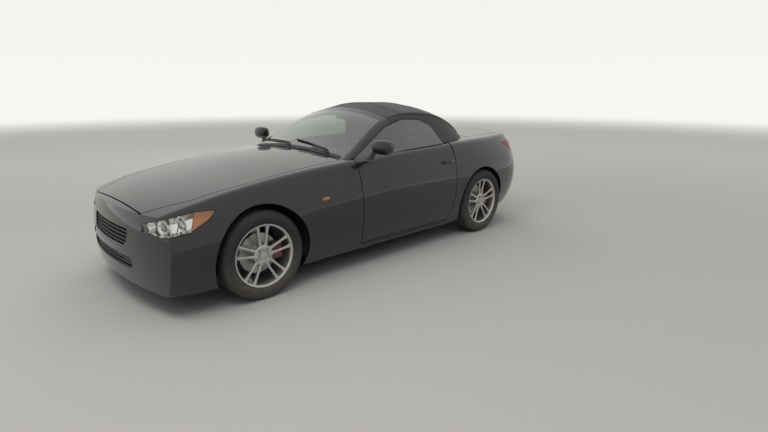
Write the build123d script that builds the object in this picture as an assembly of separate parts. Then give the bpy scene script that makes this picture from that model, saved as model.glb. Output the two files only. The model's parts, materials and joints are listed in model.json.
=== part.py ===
from build123d import *
import math
import os

# Two-seat roadster with a closed fabric roof, modelled standing on its four wheels.
# Units are millimetres. +X is the car's left, -Y is forward and +Z is up.
# The origin lies on the ground below the middle of the car's length and width.

# Overall sizes
overall_length = 4090
wheelbase = 2495
front_overhang = 756
front_track = 1473
rear_track = 1523
nose_y = -overall_length / 2
tail_y = overall_length / 2
front_axle_y = nose_y + front_overhang
rear_axle_y = front_axle_y + wheelbase

# Wheels, tyres and brakes
tyre_radius = 317
tyre_half_width = 112
rim_radius = 216
rim_half_width = 102
bead_half_width = 92
wheel_offset = 45
hub_radius = 32
spindle_length = 40
hub_clearance = 0.1
disc_radius = 145
disc_thickness = 24
disc_inset = 8
disc_gap = 6
spoke_pairs = 5
front_arch_radius = 365
rear_arch_radius = 354

# Walls, gaps and clearances
skin = 25
fit_gap = 0.3
shut_gap = 6.6
bonnet_gap = 7.5
bonnet_hinge_gap = 12
lid_hinge_gap = 14
door_skin = 36
door_step = 14
glass_thickness = 5
roof_thickness = 22
pillar_thickness = 34
liner_thickness = 8
liner_gap = 5
plate = 14
floor_top_z = 178
far = 1300

# Doors
door_front_y = -395
door_rear_y = 790
door_inner_x = 700
door_bottom_z = 215
hinge_pin_radius = 3

# Steering
kingpin_x = 680
kingpin_radius = 12
steering_wheel_x = 360
steering_wheel_y = 0
steering_wheel_z = 800
steering_wheel_radius = 184
column_tilt = 25
column_radius = 14

# Bonnet and boot lid
bonnet_rear_y = -494
bonnet_front_y = -1945
lid_front_y = 1270
lid_half_width = 600
lid_bottom_z = 700
bonnet_hinge_z = 908
lid_hinge_z = 958
hinge_pin_inner_x = 60
hinge_pin_outer_x = 120

# Inner structure
bay_half_width = 450
rear_bay_half_width = 567
boot_half_width = 560
firewall_y = -480
bulkhead_y = 830
boot_front_y = 1000
boot_floor_z = 480
tunnel_half_width = 120
tunnel_top_z = 330
seat_x = 360
seat_half_width = 235
seat_base_half_width = 190
headrest_half_width = 130
jack_x = 735
jack_z = 138
jack_front_y = -300
jack_rear_y = 700
floor_z = 150
exhaust_x = 270
tip_radius = 34

# Lower body. Columns: station y, bottom z, bottom half width, waist z, waist half width,
# shoulder z, shoulder half width, centre top z, shoulder radius.
BODY = [
    (nose_y, 200, 680, 410, 750, 600, 600, 640, 45),
    (nose_y + 55, 175, 705, 415, 788, 632, 625, 668, 50),
    (nose_y + 165, 160, 745, 430, 822, 676, 670, 704, 60),
    (nose_y + 345, 150, 780, 450, 856, 726, 710, 750, 70),
    (front_axle_y, 150, 800, 470, 876, 800, 730, 822, 80),
    (-700, 150, 800, 490, 860, 862, 760, 900, 70),
    (0, 150, 800, 500, 860, 895, 775, 945, 60),
    (700, 150, 800, 510, 866, 920, 765, 965, 60),
    (rear_axle_y, 160, 800, 530, 880, 935, 745, 965, 80),
    (tail_y - 395, 185, 760, 540, 852, 940, 690, 972, 70),
    (tail_y - 185, 215, 700, 545, 800, 945, 630, 980, 60),
    (tail_y - 60, 255, 620, 545, 725, 945, 560, 985, 50),
    (tail_y, 290, 570, 545, 680, 942, 520, 985, 45),
]
BODY_STATIONS = [nose_y, -1990, -1915, -1810, -1660, -1460, -1210, -920, -600, -260, 90, 440, 780]
BODY_STATIONS = BODY_STATIONS + [1090, 1360, 1580, 1750, 1880, 1975, tail_y]
# Windscreen, side windows and roof as one form. Columns: station y, base half width,
# top corner z, top corner half width, centre top z, corner radius.
CABIN = [
    (-700, 760, 760, 650, 790, 40),
    (-450, 850, 888, 705, 935, 50),
    (-200, 885, 1020, 650, 1082, 70),
    (60, 903, 1150, 588, 1230, 85),
    (330, 910, 1212, 552, 1298, 100),
    (620, 912, 1208, 548, 1294, 100),
    (900, 896, 1146, 556, 1238, 100),
    (1150, 850, 984, 566, 1056, 90),
    (1310, 780, 850, 590, 905, 60),
]
cabin_base_z = 620
cabin_side_bulge = 10
header_front_y = 66
header_rear_y = 128
windscreen_front_y = -470
SIDE_WINDOW = [(-372, 800), (-372, 888), (60, 1108), (300, 1163), (520, 1150)]
SIDE_WINDOW = SIDE_WINDOW + [(640, 1090), (716, 930), (716, 800)]

# Lamp outlines. Columns: distance along the lamp from its middle, height.
HEADLAMP = [(-232, 608), (-222, 570), (-70, 548), (110, 572), (215, 640), (240, 690), (120, 690), (-90, 652)]
TAIL_LAMP = [(-150, 745), (-158, 862), (40, 885), (185, 868), (120, 790), (40, 752)]
lamp_turn = 50
lamp_corner = 12
lamp_depth = 95

# Openings in the front bumper. Columns: half width at the top, half width at the bottom, top z, bottom z.
GRILLE = (360, 330, 560, 425)
INTAKE = (390, 415, 372, 290)


def upright_plane(y):
    """The plane across the car at a station, with its own x across and y up."""
    return Plane(origin=(0, y, 0), x_dir=(1, 0, 0), z_dir=(0, -1, 0))


def corners(face, half_width, z):
    """The two corners of a cross-section at that half width and height."""
    return [v for v in face.vertices() if abs(abs(v.X) - half_width) < 0.01 and abs(v.Y - z) < 0.01]


def body_section(row, inset):
    """One cross-section of the lower body, drawn in by inset."""
    y, bottom_z, bottom_w, waist_z, waist_w, shoulder_z, shoulder_w, top_z, radius = row
    bottom_z, bottom_w, waist_w = bottom_z + inset, bottom_w - inset, waist_w - inset
    shoulder_z, shoulder_w, top_z = shoulder_z - inset, shoulder_w - 0.6 * inset, top_z - inset
    edges = [Line((-bottom_w, bottom_z), (bottom_w, bottom_z))]
    for side in (1, -1):
        waist = (side * waist_w, waist_z)
        edges.append(TangentArc(waist, (side * bottom_w, bottom_z), tangent=(0, -1)))
        edges.append(TangentArc(waist, (side * shoulder_w, shoulder_z), tangent=(0, 1)))
    edges.append(ThreePointArc((shoulder_w, shoulder_z), (0, top_z), (-shoulder_w, shoulder_z)))
    face = make_face(edges)
    face = fillet(corners(face, shoulder_w, shoulder_z), radius)
    face = fillet(corners(face, bottom_w, bottom_z), 45)
    return (upright_plane(y) * face).faces()[0]


def cabin_section(row, inset):
    """One cross-section of the cabin form, drawn in by inset."""
    y, base_w, corner_z, corner_w, top_z, radius = row
    base_w, corner_w = base_w - inset, corner_w - 0.8 * inset
    corner_z, top_z = corner_z - inset, top_z - inset
    middle = ((base_w + corner_w) / 2 + cabin_side_bulge, (cabin_base_z + corner_z) / 2)
    edges = [
        Line((-base_w, cabin_base_z), (base_w, cabin_base_z)),
        ThreePointArc((corner_w, corner_z), (0, top_z), (-corner_w, corner_z)),
    ]
    for side in (1, -1):
        base, top = (side * base_w, cabin_base_z), (side * corner_w, corner_z)
        edges.append(ThreePointArc(base, (side * middle[0], middle[1]), top))
    face = make_face(edges)
    face = fillet(corners(face, corner_w, corner_z), radius)
    return (upright_plane(y) * face).faces()[0]


def smooth_rows(table, stations):
    """The table's rows at other stations, on smooth curves that don't overshoot its values."""
    ys = [row[0] for row in table]
    spans = [b - a for a, b in zip(ys, ys[1:])]
    columns = []
    for column in list(zip(*table))[1:]:
        slopes = [(b - a) / span for a, b, span in zip(column, column[1:], spans)]
        ends = [slopes[0]]
        for k in range(1, len(slopes)):
            m0, m1, s0, s1 = slopes[k - 1], slopes[k], spans[k - 1], spans[k]
            if m0 * m1 <= 0:
                ends.append(0)
            else:
                w0, w1 = 2 * s1 + s0, s1 + 2 * s0
                ends.append((w0 + w1) / (w0 / m0 + w1 / m1))
        ends.append(slopes[-1])
        values = []
        for y in stations:
            k = min(sum(1 for point in ys[1:-1] if point <= y), len(spans) - 1)
            t, h = (y - ys[k]) / spans[k], spans[k]
            value = (2 * t**3 - 3 * t**2 + 1) * column[k] + (t**3 - 2 * t**2 + t) * h * ends[k]
            values.append(value + (3 * t**2 - 2 * t**3) * column[k + 1] + (t**3 - t**2) * h * ends[k + 1])
        columns.append(values)
    return [(y, *values) for y, values in zip(stations, zip(*columns))]


def body_form(inset=0):
    return loft([body_section(row, inset) for row in smooth_rows(BODY, BODY_STATIONS)])


def cabin_form(inset=0):
    return loft([cabin_section(row, inset) for row in CABIN])


def outline(points, radius=0):
    """A closed outline, with every corner rounded if a radius is given."""
    face = make_face(Polyline(*points, close=True))
    return fillet(face.vertices(), radius) if radius else face


def grown(face, distance):
    return offset(face, distance, kind=Kind.INTERSECTION)


def across(face, x0, x1):
    """An outline drawn in side view (y, z), as a solid from x0 to x1."""
    return Pos(x0, 0, 0) * extrude(Plane.YZ * face, amount=x1 - x0)


def upward(face, z0, z1):
    """An outline drawn in plan view (x, y), as a solid from z0 to z1."""
    return Pos(0, 0, z0) * extrude(face, amount=z1 - z0)


def backward(face, y0, y1):
    """An outline drawn in front view (x, z), as a solid from y0 back to y1."""
    return extrude(upright_plane(y0) * face, amount=y0 - y1)


def block(x0, x1, y0, y1, z0, z1):
    return Pos((x0 + x1) / 2, (y0 + y1) / 2, (z0 + z1) / 2) * Box(abs(x1 - x0), abs(y1 - y0), abs(z1 - z0))


def middle_block(half_x, y0, y1, z0, z1):
    return block(-half_x, half_x, y0, y1, z0, z1)


def rod(start, end, radius):
    """A round bar between two points."""
    a, b = Vector(*start), Vector(*end)
    return extrude(Plane(origin=a, z_dir=(b - a).normalized()) * Circle(radius), amount=(b - a).length)


def lying_cylinder(radius, length):
    """A cylinder along X, with its middle at the origin."""
    return Rot(0, 90, 0) * Cylinder(radius, length)


def outward_cylinder(radius):
    """A cylinder that runs from the origin far out along X."""
    return Rot(0, 90, 0) * Cylinder(radius, far, align=(Align.CENTER, Align.CENTER, Align.MIN))


def mirrored(shape):
    return mirror(shape, about=Plane.YZ)


def both(shape):
    """A piece and its mirror image on the car's other side."""
    return Compound(children=[*shape.solids(), *mirrored(shape).solids()])


def save(name, shape):
    solids = shape.solids()
    result = solids[0] if len(solids) == 1 else Compound(children=list(solids))
    export_step(result, f"parts/{name}.step")


def lamp_prism(points, centre_x, centre_y, grow=0):
    """A lamp's outline as a solid that runs a little way into the body, square to its corner."""
    turn = math.radians(lamp_turn)
    side = -1 if centre_y < 0 else 1
    outward = Vector(math.sin(turn), side * math.cos(turn), 0)
    along = Vector(math.cos(turn), -side * math.sin(turn), 0)
    face = outline([(a, -side * z) for a, z in points], lamp_corner)
    if grow:
        face = grown(face, grow)
    plane = Plane(origin=Vector(centre_x, centre_y, 0) - outward * lamp_depth, x_dir=along, z_dir=outward)
    return extrude(plane * face, amount=lamp_depth + 300)


# The rounded ends. Each is turned about an upright axis on the car's centre line.
end_radius = 2600
NOSE = [(nose_y + 30, 100), (nose_y, 400), (nose_y + 50, 660)]
TAIL = [(tail_y - 60, 100), (tail_y, 480), (tail_y - 14, 700), (tail_y - 26, 800), (tail_y - 40, 975)]


def end_cut(front, inset=0):
    """What is cut away beyond the rounded nose or tail, moved inwards by inset."""
    sign = -1 if front else 1
    axis_y = sign * (tail_y - end_radius)
    rows = [(y - sign * inset, z) for y, z in (NOSE if front else TAIL)]
    edges = [ThreePointArc(*rows[:3])]
    if len(rows) > 3:
        edges.append(ThreePointArc(*rows[2:]))
    last_y, first_y = rows[-1][0], rows[0][0]
    edges.append(Polyline(rows[-1], (last_y, 1300), (axis_y, 1300), (axis_y, 0), (first_y, 0), rows[0]))
    turned = revolve(Plane.YZ * make_face(edges), Axis((0, axis_y, 0), (0, 0, 1)))
    return block(-far, far, sign * 1600, sign * (tail_y + 60), 50, 1250) - turned


def body_solid(inset=0):
    return body_form(inset) - end_cut(True, inset) - end_cut(False, inset)


# Forms that the pieces are cut from
body_outer = body_solid()
body_inner = body_solid(skin)
structure_limit = body_solid(skin + fit_gap)
above_body = body_form(-fit_gap)
above_door = body_form(-shut_gap)
cabin_outer = cabin_form()
door_inner_form = body_form(door_skin)
glass_sheet = cabin_outer - cabin_form(glass_thickness)

# Zones of the pieces, each made for the left side or across the whole car
front_arch = Pos(bay_half_width, front_axle_y, tyre_radius) * outward_cylinder(front_arch_radius)
rear_arch = Pos(rear_bay_half_width, rear_axle_y, tyre_radius) * outward_cylinder(rear_arch_radius)
DOOR = [(door_front_y, door_bottom_z), (690, door_bottom_z), (762, 430), (door_rear_y, 800)]
DOOR = DOOR + [(door_rear_y, 1000), (door_front_y, 1000)]
door_outline = outline(DOOR)
door_hole = across(grown(door_outline, shut_gap), door_inner_x - shut_gap, far)


def bonnet_face(front_y):
    half = [(470, front_y), (615, -1700), (664, front_axle_y), (672, bonnet_rear_y)]
    return outline(half + [(-x, y) for x, y in reversed(half)])


bonnet_zone = upward(bonnet_face(bonnet_front_y + 2.5), 520, 1200)
bonnet_hole = upward(grown(bonnet_face(bonnet_front_y), bonnet_gap), 520, 1200)
lid_outline = outline(
    [(-lid_half_width, lid_front_y), (lid_half_width, lid_front_y)]
    + [(lid_half_width - 60, tail_y + 20), (60 - lid_half_width, tail_y + 20)]
)
lid_zone = upward(lid_outline, lid_bottom_z, 1200)
lid_hole = upward(grown(lid_outline, shut_gap), lid_bottom_z - shut_gap, 1200)
lid_hole = lid_hole + middle_block(
    lid_half_width + shut_gap, lid_front_y - lid_hinge_gap, lid_front_y + 5, lid_bottom_z, 1200
)
headlamp_zone = lamp_prism(HEADLAMP, 665, -1800)
headlamp_room = lamp_prism(HEADLAMP, 665, -1800, bonnet_gap)
tail_lamp_zone = lamp_prism(TAIL_LAMP, 705, 1895)
bumper_side_view = outline(
    [(-2100, 0), (-1500, 0), (-1500, 590), (-1690, 622), (-1850, 640), (-1930, 700), (-2100, 700)]
) - Pos(front_axle_y, tyre_radius) * Circle(front_arch_radius)
bumper_front_zone = across(bumper_side_view, -far, far)
bumper_rear_zone = across(outline([(1450, 0), (2100, 0), (2100, 693), (1780, 693), (1450, 640)]), -far, far)
cabin_opening = upward(
    outline(
        [(-690, -300), (690, -300), (690, 700), (640, 900), (500, 1120)]
        + [(-500, 1120), (-640, 900), (-690, 700)]
    ),
    600,
    1200,
)
window_outline = outline(SIDE_WINDOW)
window_zone = across(window_outline, 300, far)
window_hole = across(grown(window_outline, shut_gap), 300, far)
windscreen_zone = upward(
    outline(
        [(-700, -700), (700, -700), (664, -450), (608, -200), (544, header_front_y)]
        + [(-544, header_front_y), (-608, -200), (-664, -450)]
    ),
    700,
    1400,
)
# The bonnet's rear edge swings back through here as it opens
bonnet_swing_room = middle_block(far, -800, windscreen_front_y, 700, 1400)
rear_window_zone = upward(outline([(-430, 775), (430, 775), (455, 1045), (-455, 1045)], 45), 900, 1400)


def panel(zone):
    """The part of the body's skin that lies in a zone."""
    return (body_outer & zone) - body_inner


def cut(shape, *tools):
    for tool in tools:
        shape = shape - tool
    return shape


def largest(shape):
    """The main solid of a shape, without any crumbs that the cuts leave."""
    return max(shape.solids(), key=lambda solid: solid.volume)


def bumper_holes(grow=0):
    faces = [grille_face(row) for row in (GRILLE, INTAKE)]
    return [backward(grown(face, grow) if grow else face, nose_y - 40, -1850) for face in faces]


def front_bumper():
    under_cut = middle_block(700, -1900, -1400, 0, 400)
    zone = cut(bumper_front_zone, *bumper_holes(), under_cut, bonnet_hole)
    return largest(panel(cut(zone, headlamp_zone, mirrored(headlamp_zone))))


def grille_face(row):
    top_w, bottom_w, top_z, bottom_z = row
    return outline([(-top_w, top_z), (top_w, top_z), (bottom_w, bottom_z), (-bottom_w, bottom_z)], 34)


def grilles():
    """Slatted plates set back in the openings of the front bumper."""
    front, back = body_solid(10), body_solid(16)
    plates = []
    for hole in bumper_holes(-fit_gap):
        plate_piece = (front & hole) - back
        for z in range(300, 560, 26):
            plate_piece = plate_piece - middle_block(700, nose_y - 60, -1700, z, z + 13)
        plates.extend(plate_piece.solids())
    return Compound(children=plates)


def front_fender():
    zone = block(660, far, -1950, door_front_y - shut_gap, 100, 1200)
    zone = zone + block(400, 660, -1950, -1100, 560, 1200)
    zone = cut(zone, bumper_front_zone, front_arch, block(600, door_inner_x, firewall_y, -380, 0, 400))
    return cut(panel(zone), bonnet_hole, headlamp_zone)


def bonnet():
    return cut(panel(bonnet_zone), headlamp_room, mirrored(headlamp_room))


def tunnel_channel():
    return middle_block(tunnel_half_width - 30, firewall_y - 5, bulkhead_y + plate + 5, 0, tunnel_top_z - 30)


def firewall():
    """The wall behind the engine, with the cowl panel below the windscreen as a second solid."""
    half = [(660, bonnet_rear_y + bonnet_hinge_gap), (660, door_front_y - shut_gap)]
    half = half + [(door_inner_x - shut_gap, door_front_y - shut_gap), (door_inner_x - shut_gap, -300)]
    cowl_zone = upward(outline(half + [(-x, y) for x, y in reversed(half)]), 600, 1200)
    wall = structure_limit & middle_block(far, firewall_y, firewall_y + plate, floor_top_z, 1200)
    return Compound(children=[*panel(cowl_zone).solids(), *(wall - tunnel_channel()).solids()])


def floor_pan():
    base = body_outer & middle_block(door_inner_x, firewall_y, bulkhead_y, 0, floor_top_z)
    tunnel = middle_block(tunnel_half_width, firewall_y + plate, bulkhead_y, floor_top_z - 20, tunnel_top_z)
    return base + tunnel - tunnel_channel()


def body_side():
    zone = block(600, far, door_front_y - shut_gap, tail_y, 0, 1200)
    zone = zone + block(lid_half_width - 70, 610, lid_front_y, tail_y, 600, 1200)
    zone = cut(zone, door_hole, block(500, door_inner_x, -500, bulkhead_y, 0, 400))
    zone = cut(zone, cabin_opening, lid_hole, rear_arch, bumper_rear_zone)
    zone = cut(zone, block(500, door_inner_x, -450, 900, 0, 860), block(500, 800, -450, 0, 600, 1200))
    sill_top_z = door_bottom_z - shut_gap
    sill = body_outer & block(door_inner_x, far, door_front_y - shut_gap, bulkhead_y, 0, sill_top_z)
    result = cut(panel(zone), tail_lamp_zone) + sill
    for y in (jack_front_y, jack_rear_y):
        result = result + block(jack_x - 30, jack_x + 30, y - 40, y + 40, jack_z, floor_z + 8)
    return result


def rear_deck():
    zone = middle_block(600, 900, lid_front_y - lid_hinge_gap, 800, 1200)
    return panel(zone - cabin_opening)


def rear_bumper():
    tip_hole = rod((exhaust_x, 1800, 292), (exhaust_x, 2100, 262), tip_radius + 10)
    under_cut = middle_block(560, 1400, tail_y - 130, 0, 400)
    result = cut(panel(bumper_rear_zone), rear_arch, mirrored(rear_arch), under_cut)
    return cut(result, lid_hole, tip_hole, mirrored(tip_hole))


def boot_lid():
    return panel(lid_zone)


def door():
    inner = body_outer & across(grown(door_outline, -door_step) , door_inner_x, far)
    outer = (body_outer - door_inner_form) & across(door_outline, door_inner_x, far)
    rear_bevel = upward(outline([(700, 771), (835, door_rear_y), (835, 830), (700, 830)]), 760, 1000)
    return inner + outer - rear_bevel


def windscreen_frame():
    result = (cabin_outer - cabin_form(pillar_thickness)) & middle_block(far, -800, header_rear_y, 862, 1400)
    result = result - windscreen_zone - window_hole - mirrored(window_hole) - above_body
    return result - (above_door & (door_hole + mirrored(door_hole)))


def soft_top():
    result = (cabin_outer - cabin_form(roof_thickness)) & middle_block(far, header_rear_y, 1400, 880, 1400)
    result = result - window_hole - mirrored(window_hole) - rear_window_zone - above_body
    return result - (above_door & (door_hole + mirrored(door_hole)))


def mirror_left():
    """A door mirror: a rounded housing on a short foot."""
    head = Pos(915, -255, 985) * Box(190, 95, 120)
    head = fillet(head.edges(), 34)
    foot = across(outline([(-330, 860), (-230, 860), (-235, 960), (-290, 960)]), 785, 845)
    return head + (foot - above_body)


def seat():
    base = outline([(40, floor_top_z), (560, floor_top_z), (540, 260), (60, 260)])
    cushion = outline([(20, 250), (600, 250), (560, 400), (60, 440), (20, 420)], 22)
    back = outline([(490, 300), (640, 300), (775, 800), (690, 830), (600, 800)], 30)
    head = outline([(655, 800), (760, 800), (790, 960), (700, 970)], 28)
    result = across(base, seat_x - seat_base_half_width, seat_x + seat_base_half_width)
    for face in (cushion, back):
        result = result + across(face, seat_x - seat_half_width, seat_x + seat_half_width)
    return result + across(head, seat_x - headrest_half_width, seat_x + headrest_half_width)


def dashboard():
    face = outline(
        [(firewall_y + plate + fit_gap, 560), (-190, 560), (-120, 700), (-110, 800), (-170, 868), (-300, 872)]
        + [(firewall_y + plate + fit_gap, 860)]
    )
    board = structure_limit & across(face, -door_inner_x + 12, door_inner_x - 12)
    start = steering_point(-250)
    return board + rod(start, steering_point(26), column_radius)


def steering_direction():
    tilt = math.radians(column_tilt)
    return Vector(0, math.cos(tilt), math.sin(tilt))


def steering_point(distance):
    """A point on the steering column, that far behind the steering wheel's middle."""
    centre = Vector(steering_wheel_x, steering_wheel_y, steering_wheel_z)
    point = centre + steering_direction() * distance
    return (point.X, point.Y, point.Z)


def steering_wheel():
    plane = Plane(origin=steering_point(0), x_dir=(1, 0, 0), z_dir=steering_direction())
    rim = Torus(steering_wheel_radius, 15)
    hub = Cylinder(56, 44)
    spokes = Box(2 * steering_wheel_radius - 10, 34, 16) + Pos(0, -90, 0) * Box(34, 176, 16)
    wheel = rim + hub + spokes - Cylinder(column_radius + hub_clearance, 100)
    return plane * wheel


def console():
    base = [(-200, tunnel_top_z), (640, tunnel_top_z)]
    face = outline(base + [(640, 470), (200, 440), (60, 400), (-200, 420)])
    box = across(face, -110, 110)
    lever = rod((0, 40, 390), (0, 20, 500), 11) + Pos(0, 20, 510) * Sphere(24)
    return box + lever


def engine_block():
    top = middle_block(215, -1500, -800, 560, 640)
    lower = middle_block(190, -1480, -800, 300, 565)
    return fillet((top + lower).edges().filter_by(Axis.Y), 12)


def front_frame():
    side = block(330, 400, -1880, firewall_y, 300, 390)
    apron_bottom = [(-1880, 380), (firewall_y, 380)]
    apron_top = [(firewall_y, 800), (-700, 800), (front_axle_y, 745), (-1700, 660), (-1880, 590)]
    apron = across(outline(apron_bottom + apron_top), 396, 410)
    tower = block(400, 640, front_axle_y - 90, front_axle_y + 90, 690, 730)
    tower = tower - (Pos(400, front_axle_y, tyre_radius) * lying_cylinder(front_arch_radius + 14, 600))
    half = side + apron + tower
    cross = middle_block(400, front_axle_y - 45, front_axle_y + 45, 240, 300)
    front = middle_block(400, -1880, -1850, 300, 590)
    seat = middle_block(335, front_axle_y - 45, front_axle_y + 45, 290, 300)
    return half + mirrored(half) + cross + front + seat


def arch_liner(y, radius, inner_x):
    ring = outward_cylinder(radius + liner_gap + liner_thickness) - outward_cylinder(radius + liner_gap)
    liner = (Pos(inner_x, y, tyre_radius) * ring) & block(0, far, y - 500, y + 500, 330, 1200)
    return structure_limit & (liner - block(0, far, bulkhead_y - 100, bulkhead_y + plate + fit_gap, 0, 1200))


def rear_frame():
    wall = structure_limit & middle_block(far, bulkhead_y, bulkhead_y + plate, 160, 880)
    wall = wall - tunnel_channel()
    rail = block(420, 490, bulkhead_y + plate - 2, 1900, boot_floor_z - 60, boot_floor_z + 2)
    tub = middle_block(boot_half_width, boot_front_y, 1960, boot_floor_z, 880)
    tub = tub - middle_block(boot_half_width - 12, boot_front_y + 12, 1948, boot_floor_z + 12, 1200)
    tub = tub - middle_block(far, 1940, 1960, 690, 1200)
    hoop = rod((250, 815, 860), (250, 815, 1020), 20) + rod((470, 815, 860), (470, 815, 1020), 20)
    hoop = hoop + rod((250, 815, 1020), (470, 815, 1020), 20) + Pos(250, 815, 1020) * Sphere(20)
    hoop = hoop + Pos(470, 815, 1020) * Sphere(20) + block(228, 492, 796, bulkhead_y + 5, 830, 868)
    half = rail + hoop
    return wall + (tub & structure_limit) + half + mirrored(half)


def rear_axle():
    housing = Pos(0, rear_axle_y, tyre_radius) * Box(220, 240, 170)
    housing = fillet(housing.edges(), 24)
    prop = rod((0, -790, 235), (0, rear_axle_y - 100, 262), 24)
    wheel_x = rear_track / 2
    disc_x = wheel_x - disc_inset
    shaft = rod((90, rear_axle_y, tyre_radius), (disc_x - 20, rear_axle_y, tyre_radius), 22)
    carrier = block(wheel_x - 110, disc_x - 18, rear_axle_y - 60, rear_axle_y + 60, 230, 400)
    spindle_end = (wheel_x + wheel_offset + spindle_length, rear_axle_y, tyre_radius)
    spindle = rod((wheel_x - 100, rear_axle_y, tyre_radius), spindle_end, hub_radius)
    arm = rod((540, bulkhead_y + plate + 8, 270), (wheel_x - 90, rear_axle_y - 40, 280), 22)
    beam = block(90, 440, rear_axle_y - 40, rear_axle_y + 40, 385, boot_floor_z - 60 - fit_gap)
    half = shaft + carrier + spindle + arm + caliper(wheel_x, rear_axle_y, 1) + beam
    return housing + prop + half + mirrored(half)


def caliper(wheel_x, y, side):
    """A brake caliper that bridges the disc, with its bracket. side is 1 behind the axle and -1 in front."""
    disc_x = wheel_x - disc_inset
    centre_y = y + side * 135
    body = block(disc_x - 45, disc_x + 45, centre_y - 38, centre_y + 38, tyre_radius - 60, tyre_radius + 60)
    room = lying_cylinder(disc_radius + disc_gap, disc_thickness + 2 * disc_gap)
    slot = Pos(disc_x, y, tyre_radius) * room
    y0, y1 = min(y, centre_y), max(y, centre_y)
    bracket = block(disc_x - 68, disc_x - 30, y0, y1, tyre_radius - 35, tyre_radius + 35)
    return (body - slot) + (bracket - slot)


def knuckle_left():
    y = front_axle_y
    wheel_x = front_track / 2
    upright = block(kingpin_x - 26, kingpin_x + 22, y - 30, y + 30, 215, 445)
    spindle_end_x = wheel_x + wheel_offset + spindle_length
    spindle = rod((kingpin_x, y, tyre_radius), (spindle_end_x, y, tyre_radius), hub_radius)
    result = upright + spindle + caliper(wheel_x, y, 1)
    for z in (200, 412):
        result = result - rod((kingpin_x, y, z), (kingpin_x, y, z + 48), kingpin_radius + hub_clearance)
    return result


def front_suspension():
    y = front_axle_y
    low = block(396, kingpin_x + 26, y - 26, y + 26, 180, 208)
    low = low + rod((kingpin_x, y, 200), (kingpin_x, y, 243), kingpin_radius)
    foot = block(380, 420, y - 45, y + 45, 180, 240 - fit_gap)
    high = block(410 + fit_gap, kingpin_x + 26, y - 24, y + 24, 452, 476)
    high = high + rod((kingpin_x, y, 420), (kingpin_x, y, 460), kingpin_radius)
    strut = rod((540, y, 206), (548, y, 700), 27)
    return low + foot + (strut & block(400, 700, y - 60, y + 60, 150, 684)) + high


def exhaust():
    box = fillet(middle_block(330, 1700, 1880, 270, 400).edges(), 30)
    tip = rod((exhaust_x, 1860, 288), (exhaust_x, 2036, 268), tip_radius)
    tips = both(tip - rod((exhaust_x, 1900, 283), (exhaust_x, 2040, 267.5), tip_radius - 4))
    pipe = rod((60, 1720, 330), (60, 1500, 202), 20) + rod((60, 1500, 202), (60, -700, 200), 20)
    pipe = pipe + Pos(60, 1500, 202) * Sphere(20)
    hangers = both(rod((300, 1790, 390), (300, 1790, boot_floor_z - fit_gap), 8))
    return box + tips + pipe + hangers


def wheel_parts():
    """The tyre, rim and brake disc of a wheel whose middle is the origin and whose outer side is +X."""
    w, b = tyre_half_width, bead_half_width
    half = [(b - 14, rim_radius), (b, rim_radius + 2), (b, rim_radius + 14), (w, 262), (w - 4, 288)]
    half = half + [(w - 22, tyre_radius - 6), (w - 34, tyre_radius)]
    tyre = Polyline(*half, *[(-x, r) for x, r in reversed(half)], close=True)
    tyre = revolve(make_face(tyre), Axis.X)
    tyre = fillet(tyre.edges().filter_by(GeomType.CIRCLE).filter_by(lambda e: e.radius > 300), 8)
    inner = rim_radius - 12
    outer = rim_radius - fit_gap
    flange = rim_radius + 11
    rim_face = outline(
        [(-rim_half_width, inner), (-rim_half_width, flange), (-b - fit_gap, flange), (-b - fit_gap, outer)]
        + [(b + fit_gap, outer), (b + fit_gap, flange), (rim_half_width, flange), (rim_half_width, inner)]
    )
    barrel = revolve(rim_face, Axis.X)
    dish = revolve(outline([(wheel_offset, 20), (wheel_offset + 34, 20), (rim_half_width - 6, inner + 2)]
                           + [(rim_half_width - 30, inner + 2)]), Axis.X)
    one_side = [(4, 60), (26, inner + 4), (50, inner + 4), (30, 40)]
    pair = outline(one_side + [(-a, r) for a, r in reversed(one_side)])
    spokes = None
    for k in range(spoke_pairs):
        one = Rot(k * 360 / spoke_pairs, 0, 0) * across(pair, 0, rim_half_width)
        spokes = one if spokes is None else spokes + one
    hub = Rot(0, 90, 0) * Cylinder(76, rim_half_width, align=(Align.CENTER, Align.CENTER, Align.MIN))
    bore = Rot(0, 90, 0) * Cylinder(hub_radius + hub_clearance, 400)
    rim = barrel + (dish & (spokes + hub)) - bore
    x = -disc_inset
    t = disc_thickness / 2
    disc = revolve(
        outline(
            [(x - t, 62), (x - t, disc_radius), (x + t, disc_radius), (x + t, 84)]
            + [(wheel_offset - fit_gap, 84), (wheel_offset - fit_gap, 20)]
            + [(wheel_offset - 10, 20), (wheel_offset - 10, 74), (x + t, 74), (x + t, 62)]
        ),
        Axis.X,
    )
    return tyre, rim, disc - bore


def at_wheel(shape, track, y, left):
    placed = Pos(track / 2, y, tyre_radius) * shape
    return placed if left else mirrored(placed)


def hinge_pins():
    y = door_front_y - shut_gap / 2
    door_pins = rod((850, y, 340), (850, y, 400), hinge_pin_radius)
    door_pins = door_pins + rod((846, y, 620), (846, y, 680), hinge_pin_radius)
    y = bonnet_rear_y + bonnet_hinge_gap / 2
    z = bonnet_hinge_z
    bonnet_pin = rod((hinge_pin_inner_x, y, z), (hinge_pin_outer_x, y, z), bonnet_hinge_gap / 2 - fit_gap)
    y = lid_front_y - lid_hinge_gap / 2
    z = lid_hinge_z
    lid_pin = rod((hinge_pin_inner_x, y, z), (hinge_pin_outer_x, y, z), lid_hinge_gap / 2 - fit_gap)
    return both(Compound(children=[*door_pins.solids(), *bonnet_pin.solids(), *lid_pin.solids()]))


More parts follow.
